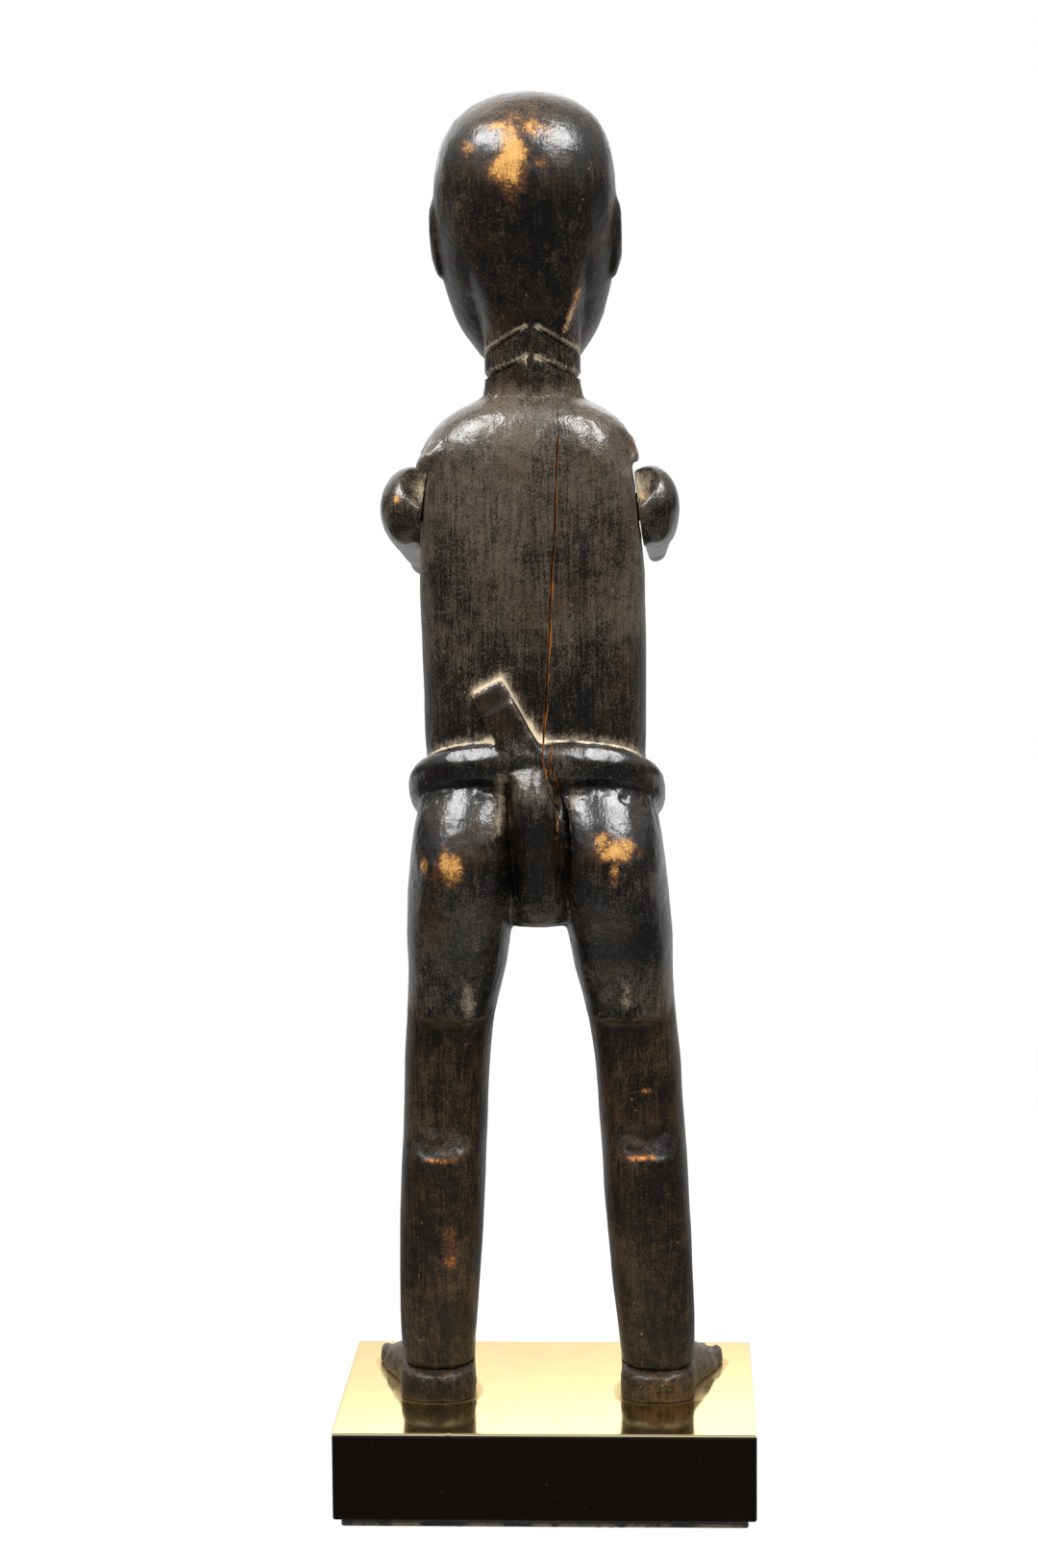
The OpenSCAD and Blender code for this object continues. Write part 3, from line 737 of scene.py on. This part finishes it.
# Soft patches on the back, rubbed or pale: x, z, half width, half height, amount
WEAR = [
    (6.6, 384.0, 3.8, 9.5, 1.0), (8.5, 380.0, 5.2, 3.6, 0.9), (9.8, 391.8, 5.0, 2.6, 0.75),
    (19.5, 386.5, 2.8, 2.6, 0.62), (0.0, 391.5, 5.5, 2.6, 0.72), (-2.5, 382.5, 3.4, 2.2, 0.55),
    (5.0, 399, 17.0, 3.4, 0.3),
    (25.6, 187.0, 3.4, 4.6, 0.98), (28.6, 184.6, 2.6, 3.0, 0.6), (33.2, 186.5, 1.6, 3.4, 0.66),
    (30.0, 180, 4.0, 3.0, 0.35),
    (-17.2, 194.2, 2.6, 2.2, 0.8), (-23.6, 192.6, 2.8, 2.4, 0.85), (-20.3, 191.0, 4.4, 3.2, 1.0),
    (-20.4, 185.2, 1.7, 3.4, 0.8), (-27.5, 190.5, 1.6, 1.8, 0.5),
    (31.0, 99.4, 6.4, 0.9, 0.72), (-26.8, 100.4, 5.6, 0.9, 0.78), (-28.9, 119.5, 2.0, 1.4, 0.65),
    (-20.0, 111.1, 1.2, 2.0, 0.5), (27.5, 72, 4.0, 13, 0.4), (-24.6, 303, 3.0, 5.5, 0.42)]
ARM_WEAR = [(41.0, 289.4, 1.1, 1.6, 0.95), (-28.9, 289.8, 1.2, 1.6, 0.8)]
PALE = [(-8.8, 206, 1.6, 3.5, 0.42), (21.6, 146.0, 1.8, 5.0, 0.52),
        (-23.4, 148.0, 1.4, 5.0, 0.45)]
# Patch on the flap's facet, lightened as painted highlight and given less wax
FLAP_FACET_SHEEN = [(2.5, 208.5, 8, 6, 1)]
LEDGE_WAX = [(30, 103.5, 12, 3.0, 0.3), (-26, 104.5, 12, 3.0, 0.3)]
# Flats rubbed on the right shoulder and the flap: a point, a normal and the reach
FLATS = [((-22.0, 12.5, 303), (-0.85, 0.45, 0.27), 9), ((5.0, 27.7, 209.6), (0.27, 0.80, 0.50), 9),
         ((-0.5, 28.1, 208.8), (-0.20, 0.82, 0.50), 8.5)]
# Flats along the back of the belt: from x, to x and how far the normal turns aside
BELT_FLATS = [(21, 29, 0.34), (14, 21, 0.24), (-12, -5, -0.2), (-19, -12, -0.28),
              (-27, -19, -0.36)]
# Lines of the face, as x from its middle and z from the chin; eyes and brows are mirrored
EYE_SLIT = [(5.0, 36.6), (8, 37.6), (11, 37.8), (14, 37.2), (16.5, 36.0)]
EYELID = [(5.2, 39.4), (8, 41.0), (11, 41.4), (14, 40.6), (16.8, 38.4)]
BROW_LINE = [(3.6, 44.4), (7, 47.0), (11, 48.2), (15, 47.4), (18.5, 44.6)]
MOUTH = [(-8.6, 13.4), (-4.5, 13.9), (0, 13.5), (4.5, 13.9), (8.6, 13.4)]


def carve_marks(tree):
    """Every incised line and crack on the body, and points along those that hold dust."""
    depth = carving().groove / MM
    dusty = []
    strokes = []

    def line(hits, width, deep, slot=0, lean=0.0, holds=False):
        hits = [h for h in hits if h]
        strokes.append((hits, width, deep, slot, lean))
        if holds:
            dusty.extend(h[0] for h in hits)

    def around(x, y, side, angles, heights):
        """Hits round an upright axis, met from 60 mm away."""
        return [touch(tree, (x + side * 60 * math.cos(a), y + 60 * math.sin(a), z), (x, y, z))
                for a, z in zip(angles, heights)]

    def ragged(low, high):
        def width(t):
            return (low + (high - low) * t) * (1 + 0.7 * noise.noise(Vector((t * 40, 0.5, 0))))
        return width

    # Crack and splits
    deep = carving().crack / MM
    line(draw_on(tree, CRACK, 1, 0.35), ragged(0.4, 1.15), deep, 1, -0.9)
    line(draw_on(tree, BELT_CRACK, 1, 0.3), 0.6, deep, 1, -0.9)
    line(draw_on(tree, FLAP_SPLIT[:3], 1, 0.3), 0.9, deep, 1)
    line(draw_on(tree, FLAP_SPLIT[2:], 1, 0.3), lambda t: 1.2 + 5.0 * t * (1 - t), deep * 2.6)
    for sliver in SLIVERS:
        line(draw_on(tree, sliver, 1, 0.4), 0.8, depth)
    # Cloth
    line(draw_on(tree, FLAP_EDGE[2:], 1), 0.9, depth)
    line(draw_on(tree, FLAP_EDGE[:3], 1), 1.1, depth)
    # Neck
    for low, high, first in NECK_LINES:
        angles = np.radians(np.linspace(first, 82, 22))
        rise = np.where(angles > 0, np.maximum(0, 1 - np.abs(np.cos(angles))) ** 0.8, 0)
        for side in (1, -1):
            hits = around(*NECK_AXIS, side, angles, low + (high - low) * rise)
            line(hits, 1.8, depth * 1.1, lean=side * -0.9, holds=True)
    # Heels
    x, y = ANKLE_AXIS
    angles = np.radians(np.linspace(-35, 215, 26))
    for side in (1, -1):
        line(around(side * x, y, side, angles, np.full(26, PLATE_TOP + 9.0)), 1.1, depth)
    # Eyes, brows and mouth
    for side in (1, -1):
        for points, wide, deep in ((EYE_SLIT, 1.1, 0.9), (EYELID, 0.7, 0.5),
                                   (BROW_LINE, 0.8, 0.5)):
            placed = [(FACE_MIDDLE + side * x, CHIN + z) for x, z in points]
            line(draw_on(tree, placed, -1), wide, deep)
    mouth = [(FACE_MIDDLE + x, CHIN + z) for x, z in MOUTH]
    line(draw_on(tree, mouth, -1), 1.1, 0.9)
    return strokes, dusty


def near_paths(co, rows):
    """Each row's amount on its path seen from the back, fading over its reach."""
    total = np.zeros(len(co))
    flat = co[:, [0, 2]]
    for path, reach, amount in rows:
        for a, b in zip(path, path[1:]):
            a, b = np.array(a), np.array(b)
            t = np.clip((flat - a) @ (b - a) / ((b - a) @ (b - a)), 0, 1)
            far = np.linalg.norm(flat - a - t[:, None] * (b - a), axis=1)
            total = np.maximum(total, amount * np.exp(-far / reach))
    return total


def on_belt(co):
    """1 on the rolled belt, which drops toward the front."""
    return ease(8.0, 6.5, np.abs(co[:, 2] - WAIST - BELT_SLOPE * co[:, 1]))


def on_tail(co):
    """1 on the tucked cloth end, and how far along it lies."""
    way = np.array(TAIL_WAY)
    flat = co[:, [0, 2]] - np.array(TAIL_FOOT)
    along, across = flat @ way, flat @ np.array((way[1], -way[0]))
    inside = ease(5.6, 5.0, np.abs(across)) * (along > -2) * (along < 20) * (co[:, 1] > 21)
    return inside, along


def body_strength(co):
    """How strongly the knife facets show over the body."""
    y, z = co[:, 1], co[:, 2]
    strong = np.full(len(co), 0.35)
    for low, high, value in KNIFE_BANDS:
        strong[(z > low) & (z < high)] = value
    face = (z > NAPE - 3) & (y < -22)
    strong[face] = 0
    return strong * (1 - 0.85 * on_belt(co)) * (1 - 0.7 * on_tail(co)[0])


class FIGURE_OT_body(bpy.types.Operator):
    """Carve the figure's body"""

    bl_idname = "figure.body"
    bl_label = "Body"

    def execute(self, context):
        size = carving()
        thing, co, pairs, away = begin_skin("body_carving", "figure_body", size.skin)
        co = relax(co, pairs, 0.12 + 0.88 * ease(0.9, 4.0, away), 60)
        co = self.soften_face(co, pairs)
        move_to(thing.data, co)
        normals = facing(thing.data)
        sole = ease(PLATE_TOP + 0.2, PLATE_TOP + 2.5, co[:, 2])
        waver = size.waver / MM * sole * (1 - 0.6 * on_belt(co))
        co = wander(co, normals, waver, size=16, seed=3.1)
        co = wander(co, normals, 0.07 * sole, size=3.2, seed=7.7)
        strong = body_strength(co) * sole
        limit = size.facet / MM
        co = knife_facets(co, normals, strong, 5.0, 2.6, limit, seed=11)
        co = knife_facets(co, normals, strong * 0.6, 2.6, 2.2, limit * 0.4, seed=12)
        co = self.rub_flats(co)
        tail, along = on_tail(co)
        sunk = 0.35 * tail * ease(10.6, 12.4, along) * (normals[:, 1] > 0.6)
        co = co - normals * sunk[:, None]
        co = self.break_ledges(co, normals, pairs)
        co = relax(co, pairs, 0.6, 2)
        co[:, 2] = np.maximum(co[:, 2], PLATE_TOP)
        relief = finish_skin(thing, co, pairs, size.faces, patina("carved_patina"), split_wood())
        strokes, dusty = carve_marks(surface_tree(thing))
        cut(thing, strokes)
        mesh = thing.data
        self.tones(mesh, *note_relief(mesh, co, relief), dusty)
        round_over(mesh, 40)
        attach(thing, STAND_BODY)
        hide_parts("body_carving")
        return {"FINISHED"}

    def soften_face(self, co, pairs):
        """Melts the brows and the outer ends of the eyes into the head."""
        front = ease(-8, -14, co[:, 1])
        co = relax(co, pairs, front * ease(5.5, 3.0, np.abs(co[:, 2] - BROW)), 70)
        aside = np.abs(co[:, 0] - FACE_MIDDLE)
        ends = np.maximum(ease(9, 13, aside) * ease(8, 5, np.abs(co[:, 2] - BROW)),
                          ease(13.5, 16, aside) * ease(6.5, 4, np.abs(co[:, 2] - EYES)))
        return relax(co, pairs, front * ends, 350)

    def rub_flats(self, co):
        """Flattens the shoulder, the flap and the back of the belt where they shine."""
        for flat in FLATS:
            co = shave(co, *flat)
        roll = on_belt(co) * (co[:, 1] > 8)
        for low, high, turn in BELT_FLATS:
            x = co[:, 0]
            inside = roll * ease(low - 1.5, low + 1.5, x) * ease(high + 1.5, high - 1.5, x)
            co = flatten(co, inside, (turn, 0.79, 0.53), 0.4)
        return co

    def break_ledges(self, co, normals, pairs):
        """Makes the ledge on each calf uneven, and lets it fade at both sides."""
        ledge = np.exp(-((co[:, 2] - CALF_LEDGE) / 5) ** 2) * (co[:, 1] > 5)
        across = np.abs(co[:, 0] - 1.2) - 29.4
        wave = np.array([noise.noise(Vector((x / 4.5, 0.5, 0.5))) for x in co[:, 0]])
        co[:, 2] += ledge * (1.3 * wave + across ** 2 / 60 - 0.6)
        beside = ease(5.5, 8.5, np.abs(across))
        co = relax(co, pairs, beside * np.exp(-((co[:, 2] - CALF_LEDGE - 1) / 8) ** 2), 90)
        above = np.exp(-((co[:, 2] - CALF_LEDGE - 6) / 6) ** 2) * (co[:, 1] > 4)
        return wander(co, normals, 0.5 * above * ease(9, 6, np.abs(across)), size=2.8, seed=12.0)

    def tones(self, mesh, co, recess, dusty):
        """Where the patina is dry or lightened as painted sheen, brown, waxed, rubbed or dusty."""
        y, z = co[:, 1], co[:, 2]
        normals = facing(mesh)
        back = ease(-0.1, 0.35, normals[:, 1])
        belt, tail = on_belt(co), on_tail(co)[0]
        above = z - WAIST - BELT_SLOPE * y
        torso = ease(4, 13, above) * ease(NECK_FOOT + 6, NECK_FOOT - 1, z)
        torso = torso * (1 - tail) * (1 - belt)
        shin = ease(KNEE + 1.5, KNEE - 1, z)
        thigh = ease(KNEE - 2, KNEE + 2, z) * ease(WAIST - 15, WAIST - 40, z)
        neck = ease(NECK_FOOT - 1, NECK_FOOT + 2, z) * ease(NAPE + 4, NAPE - 4, z)
        head = ease(NAPE - 4, NAPE + 4, z)
        # Tops of the feet, lightened below through the dry mask as painted highlight
        toes = ease(8, 2, y) * ease(PLATE_TOP + 24, PLATE_TOP + 16, z)
        note(mesh, "wear", np.maximum(blobs(co, WEAR), near_paths(co, BROKEN)) * back)
        # The flap's facet patch, lightened below through the dry mask as painted highlight
        facet = blobs(co, FLAP_FACET_SHEEN) * back
        # Dry film, also painted sheen: the toes' tops and the flap's facet are lightened as painted
        # highlight, and the torso's lightening toward its top is partly painted sheen
        note(mesh, "dry_and_sheen", torso * (0.3 + 0.7 * ease(222, 300, z)) + shin * 0.4 + thigh * 0.42
             + ease(CROWN - 15, CROWN - 3, z) * 0.7 + neck * 0.5 + head * 0.08 + toes
             + belt * 0.15 + facet * 0.8)
        note(mesh, "brown", shin * (0.9 - 0.6 * toes) + torso * 0.12 + neck * 0.3 + head * 0.5)
        ledge = blobs(co, LEDGE_WAX)
        step = np.exp(-((z - KNEE) / 2.5) ** 2)
        note(mesh, "wax", 1 - 0.85 * shin * (1 - ledge) * (1 - 0.4 * toes) - 0.5 * thigh
             - 0.4 * neck - 0.6 * step - np.exp(-((z - NECK_FOOT - 1.5) / 1.8) ** 2)
             - 0.85 * torso * ease(302, 292, z) - 0.6 * head * ease(385, 370, z) - 0.12 * belt
             - 0.5 * head * ease(-12, -22, y) - 0.4 * facet)
        settled = ease(0.25, 0.7, recess)
        low = np.where((z > 216) & (z < 300), ease(22.8, 21.6, y) * (y > 8), back)
        roll = settled * ease(2.5, 4.0, above) * ease(11.0, 7.5, above) * (1 - tail)
        film = ease(6.0, 7.4, above) * np.exp(-np.maximum(above - 7.4, 0) / 1.8)
        film = film * back * (1 - tail)
        collar = settled * ease(NECK_FOOT - 1, NECK_FOOT, z) * ease(NECK_FOOT + 7, NECK_FOOT + 3, z)
        note(mesh, "residue", np.maximum.reduce([
            near_paths(co, DUST) * low, blobs(co, PALE) * back, roll * (0.55 + 0.4 * back),
            collar * 0.6, toes * ease(0.1, 0.6, normals[:, 2]) * 0.2, film * 0.44,
            ease(1.2, 0.3, nearest(dusty, co)[0]) * 0.76]))


class FIGURE_OT_arms(bpy.types.Operator):
    """Carve the two pegged arms"""

    bl_idname = "figure.arms"
    bl_label = "Arms"

    def execute(self, context):
        for side, node in ((1, "left_arm"), (-1, "right_arm")):
            self.carve(side, node)
        return {"FINISHED"}

    def carve(self, side, node):
        size = carving()
        thing, co, pairs, away = begin_skin(node, node + "_carving", size.skin * 0.8)
        before = co
        far = ease(11, 15, np.hypot(co[:, 1], co[:, 2] - SHOULDER))
        co = relax(co, pairs, 0.15 + 0.85 * np.maximum(far, ease(0.8, 3.0, away)), 50)
        move_to(thing.data, co)
        normals = facing(thing.data)
        outer = ease(-0.75, -0.2, normals[:, 0] * side)
        co = wander(co, normals, 0.25 * outer, size=12, seed=5.0 + side)
        co = knife_facets(co, normals, 0.8 * outer, 5.0, 1.0, 0.35, seed=20 + side)
        low, high = (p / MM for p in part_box(node))
        way = Vector((-0.45 * side, 0.62, 0.64))
        co = shave(co, Vector(((low.x + high.x) / 2, 0, SHOULDER)) + way * 9.4, way, 10)
        co = relax(co, pairs, 0.6, 16)
        inside = (normals[:, 0] * side < -0.6) & (far < 0.5)
        co = np.where(inside[:, None], before, co)
        finish = patina(node + "_patina", 31.0 * side)
        relief = finish_skin(thing, co, pairs, size.arm_faces, finish)
        cut(thing, self.fingers(thing, side))
        mesh = thing.data
        co, recess = note_relief(mesh, co, relief)
        end = ease(-2, 6, co[:, 1])
        seat = ease(6.0, 2.5, side * (co[:, 0] - (low.x if side > 0 else high.x)))
        note(mesh, "brown", np.full(len(co), 0.25))
        note(mesh, "dry_and_sheen", 0.4 + 0.5 * end * seat)
        note(mesh, "wax", 0.5 + 0.5 * end)
        note(mesh, "wear", blobs(co, ARM_WEAR) * end)
        dust = seat * end * ease(286, 291, co[:, 2]) * 0.66
        note(mesh, "residue", np.maximum(dust, ease(0.3, 0.9, recess) * 0.4))
        round_over(mesh, 45)
        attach(thing, node)
        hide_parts(node)

    def fingers(self, thing, side):
        """Three lines that part the fingers on the outer side of the hand."""
        co = places(thing.data)
        tree = surface_tree(thing)
        tip = co[:, 1].min()
        strokes = []
        for share in (0.27, 0.5, 0.73):
            hits = []
            for y in np.arange(tip + 0.8, tip + 14, 0.9):
                heights = co[np.abs(co[:, 1] - y) < 0.8][:, 2]
                z = heights.min() + share * min(np.ptp(heights), 13.5)
                hits.append(touch(tree, (80 * side, y, z), (0, y, z)))
            strokes.append(([h for h in hits if h], 1.0, 0.8))
        return strokes


class FIGURE_OT_fixings(bpy.types.Operator):
    """Finish the shoulder pegs and foot screws"""

    bl_idname = "figure.fixings"
    bl_label = "Pegs and screws"

    def execute(self, context):
        wood, steel = dowel_wood(), screw_steel()
        for side in ("left", "right"):
            for node, finish in ((side + "_shoulder_peg", wood), (side + "_foot_screw", steel)):
                slots = NODES[node].data.materials
                slots.clear()
                slots.append(finish)
        return {"FINISHED"}


def slab(name, node, edge, rows):
    """A box in a node's place with rounded edges and a grid of faces, and its vertex places."""
    low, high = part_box(node)
    bm = bmesh.new()
    bmesh.ops.create_cube(bm, size=1)
    for v in bm.verts:
        v.co = [low[k] if v.co[k] < 0 else high[k] for k in range(3)]
    bmesh.ops.bevel(bm, geom=bm.edges[:], offset=edge, segments=3, profile=0.6, affect="EDGES")
    for axis, count in enumerate(rows):
        for k in range(1, count):
            at = [0, 0, 0]
            at[axis] = low[axis] + (high[axis] - low[axis]) * k / count
            way = [0, 0, 0]
            way[axis] = 1
            bmesh.ops.bisect_plane(bm, geom=bm.verts[:] + bm.edges[:] + bm.faces[:],
                                   plane_co=at, plane_no=way)
    bmesh.ops.recalc_face_normals(bm, faces=bm.faces)
    thing = add_mesh(name, bm)
    return thing, thing.data, places(thing.data)


class FIGURE_OT_block(bpy.types.Operator):
    """Make the black block of the stand"""

    bl_idname = "figure.block"
    bl_label = "Block"

    def execute(self, context):
        thing, mesh, co = slab("stand_block", "base_block", 0.9 * MM, (40, 32, 8))
        normals = facing(mesh)
        under = ease(0.3, 1.5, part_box("base_block")[1].z / MM - co[:, 2])
        co = wander(co, normals, -0.08 * under, size=20, seed=9.0)
        edge = (np.abs(normals).max(1) < 0.96).astype(float)
        move_to(mesh, co)
        note(mesh, "proud", edge)
        mesh.materials.append(black_lacquer())
        round_over(mesh, 40)
        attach(thing, STAND_BODY)
        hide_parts("base_block")
        return {"FINISHED"}


class FIGURE_OT_plate(bpy.types.Operator):
    """Lay the brass plate"""

    bl_idname = "figure.plate"
    bl_label = "Brass plate"

    def execute(self, context):
        thing, mesh, co = slab("brass_sheet", "brass_plate", 0.3 * MM, (150, 115, 1))
        feet = surface_tree(NODES["body_carving"])
        away = np.array([feet.find_nearest(Vector(p) * MM)[3] for p in co]) / MM
        # Browner, rougher brass round the feet and in one spot on the edge
        spot = np.hypot(co[:, 0] - 27.1, co[:, 1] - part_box("brass_plate")[1].y / MM)
        note(mesh, "browning", np.maximum(ease(5.5, 0.2, away) ** 1.6, ease(1.3, 0.3, spot)))
        mesh.materials.append(polished_brass())
        round_over(mesh, 30)
        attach(thing, STAND_BODY)
        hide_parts("brass_plate")
        return {"FINISHED"}


class FIGURE_OT_felt(bpy.types.Operator):
    """Fit the felt pad"""

    bl_idname = "figure.felt"
    bl_label = "Felt pad"

    def execute(self, context):
        low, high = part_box("felt_pad")
        thing, mesh, co = slab("felt_sheet", "felt_pad", 0.5 * MM, (90, 70, 3))
        normals = facing(mesh)
        rim = ease(0.6, 0.95, np.abs(normals[:, :2]).max(1))
        co = wander(co, normals, 0.45 * rim, size=1.6, seed=4.0)
        co = wander(co, normals, 0.5 * rim, size=9, seed=6.0)
        co[:, 2] = np.clip(co[:, 2], low.z / MM, high.z / MM)
        move_to(mesh, co)
        mesh.materials.append(pressed_felt())
        mesh.shade_smooth()
        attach(thing, STAND_BODY)
        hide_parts("felt_pad")
        return {"FINISHED"}


# Each soft box: name, place, width, height in metres and its share of the key power
SOFT_BOXES = [("soft_box_left", (0.655, 0.46, 1.30), 0.86, 0.50, 1.0),
              ("soft_box_right", (-0.655, 0.44, 1.30), 0.86, 0.50, 1.0),
              ("soft_box_front", (0.30, -1.10, 1.00), 1.60, 1.20, 0.25)]
# The camera's place in metres, and its yaw, pitch and roll in degrees
CAMERA_PLACE = (-0.0351, 1.0069, 0.3348)
CAMERA_TURN = (2.416, 7.247, -0.468)
LAMP_AIM = (0, 0, 0.25)


class FIGURE_OT_stage(bpy.types.Operator):
    """Set the floor, the light and the camera"""

    bl_idname = "figure.stage"
    bl_label = "Stage"

    def execute(self, context):
        self.floor()
        self.light(context)
        self.camera(context)
        context.scene.view_settings.view_transform = "Standard"
        return {"FINISHED"}

    def floor(self):
        bm = bmesh.new()
        bmesh.ops.create_circle(bm, cap_ends=True, segments=96, radius=4.0)
        thing = add_mesh("floor", bm)
        made, place, shader = start("studio_floor")
        camera, glossy = rays(place)
        # In reflections the floor is white behind and beside the stand, and dim elsewhere
        far = place.node("ShaderNodeVectorMath", {"Vector": place}, out="Value",
                         operation="LENGTH")
        dim = place.axis("Y").ramp(-420, -160) * (far.ramp(90, 220) * 0.6 + 0.4)
        lit, dull = (0.4, 0.4, 0.4), (0.05, 0.05, 0.05)
        bounce = (glossy * dim).mix(lit, dull)
        feed(shader, Base_Color=camera.mix(bounce, colours().floor), Roughness=0.8,
             Specular_IOR_Level=0.1)
        glow = made.node_tree.nodes.new("ShaderNodeEmission")
        seen = camera * (0.93 + far.ramp(150, 700) * 0.07) + glossy * (1 - dim) * 0.9
        blend(made, seen, shader, glow)
        thing.data.materials.append(made)

    def light(self, context):
        stage = context.scene.figure_stage
        world = bpy.data.worlds.new("studio")
        context.scene.world = world
        world.use_nodes = True
        tree = world.node_tree
        direction = Wire(tree, None).node("ShaderNodeTexCoord", out="Generated")
        away, above = direction.axis("Y"), direction.axis("Z")
        camera, glossy = rays(direction)
        # The far side is a white sweep, the ceiling is grey and the room behind the camera dim
        sweep = (1 - away.ramp(-0.96, -0.72)).math("MAXIMUM", above.ramp(0.06, 0.4) * 0.65)
        sweep = sweep.math("MAXIMUM", 0.05)
        strength = camera + (1 - camera) * (glossy * sweep + (1 - glossy) * stage.fill)
        back = tree.nodes["Background"]
        back.inputs["Color"].default_value = (1, 1, 1, 1)
        tree.links.new(strength.socket, back.inputs["Strength"])
        for name, place, width, height, share in SOFT_BOXES:
            lamp = bpy.data.lights.new(name, "AREA")
            lamp.shape = "RECTANGLE"
            lamp.size = width
            lamp.size_y = height
            lamp.energy = stage.key * share
            thing = add(name, lamp)
            thing.location = place
            aim = Vector(LAMP_AIM) - thing.location
            thing.rotation_euler = aim.to_track_quat("-Z", "Y").to_euler()

    def camera(self, context):
        yaw, pitch, roll = (math.radians(a) for a in CAMERA_TURN)
        turn = Matrix.Rotation(math.pi + yaw, 4, "Z")
        turn = turn @ Matrix.Rotation(math.pi / 2 - pitch, 4, "X") @ Matrix.Rotation(roll, 4, "Z")
        lens = bpy.data.cameras.new("camera")
        lens.sensor_width = 36
        lens.lens = context.scene.figure_stage.lens
        thing = add("camera", lens)
        thing.matrix_world = Matrix.Translation(CAMERA_PLACE) @ turn
        context.scene.camera = thing


class FIGURE_PT_panel(bpy.types.Panel):
    """Lists the pieces of the figure and its stand"""

    bl_label = "Carved figure"
    bl_idname = "FIGURE_PT_panel"
    bl_space_type = "VIEW_3D"
    bl_region_type = "UI"
    bl_category = "Figure"

    def draw(self, context):
        for piece in PIECES:
            self.layout.operator(piece.bl_idname)
        for group in (context.scene.figure_carving, context.scene.figure_colours,
                      context.scene.figure_stage):
            box = self.layout.box()
            for key in group.__annotations__:
                box.prop(group, key)


GROUPS = (FigureCarving, FigureColours, FigureStage)
PIECES = (FIGURE_OT_stage, FIGURE_OT_body, FIGURE_OT_arms, FIGURE_OT_fixings, FIGURE_OT_block,
          FIGURE_OT_plate, FIGURE_OT_felt)


def register():
    for made in (*GROUPS, *PIECES, FIGURE_PT_panel):
        bpy.utils.register_class(made)
    bpy.types.Scene.figure_carving = PointerProperty(type=FigureCarving)
    bpy.types.Scene.figure_colours = PointerProperty(type=FigureColours)
    bpy.types.Scene.figure_stage = PointerProperty(type=FigureStage)


def unregister():
    del bpy.types.Scene.figure_carving
    del bpy.types.Scene.figure_colours
    del bpy.types.Scene.figure_stage
    for made in reversed((*GROUPS, *PIECES, FIGURE_PT_panel)):
        bpy.utils.unregister_class(made)


def main():
    register()
    for piece in PIECES:
        group, name = piece.bl_idname.split(".")
        getattr(getattr(bpy.ops, group), name)()


if __name__ == "__main__":
    main()
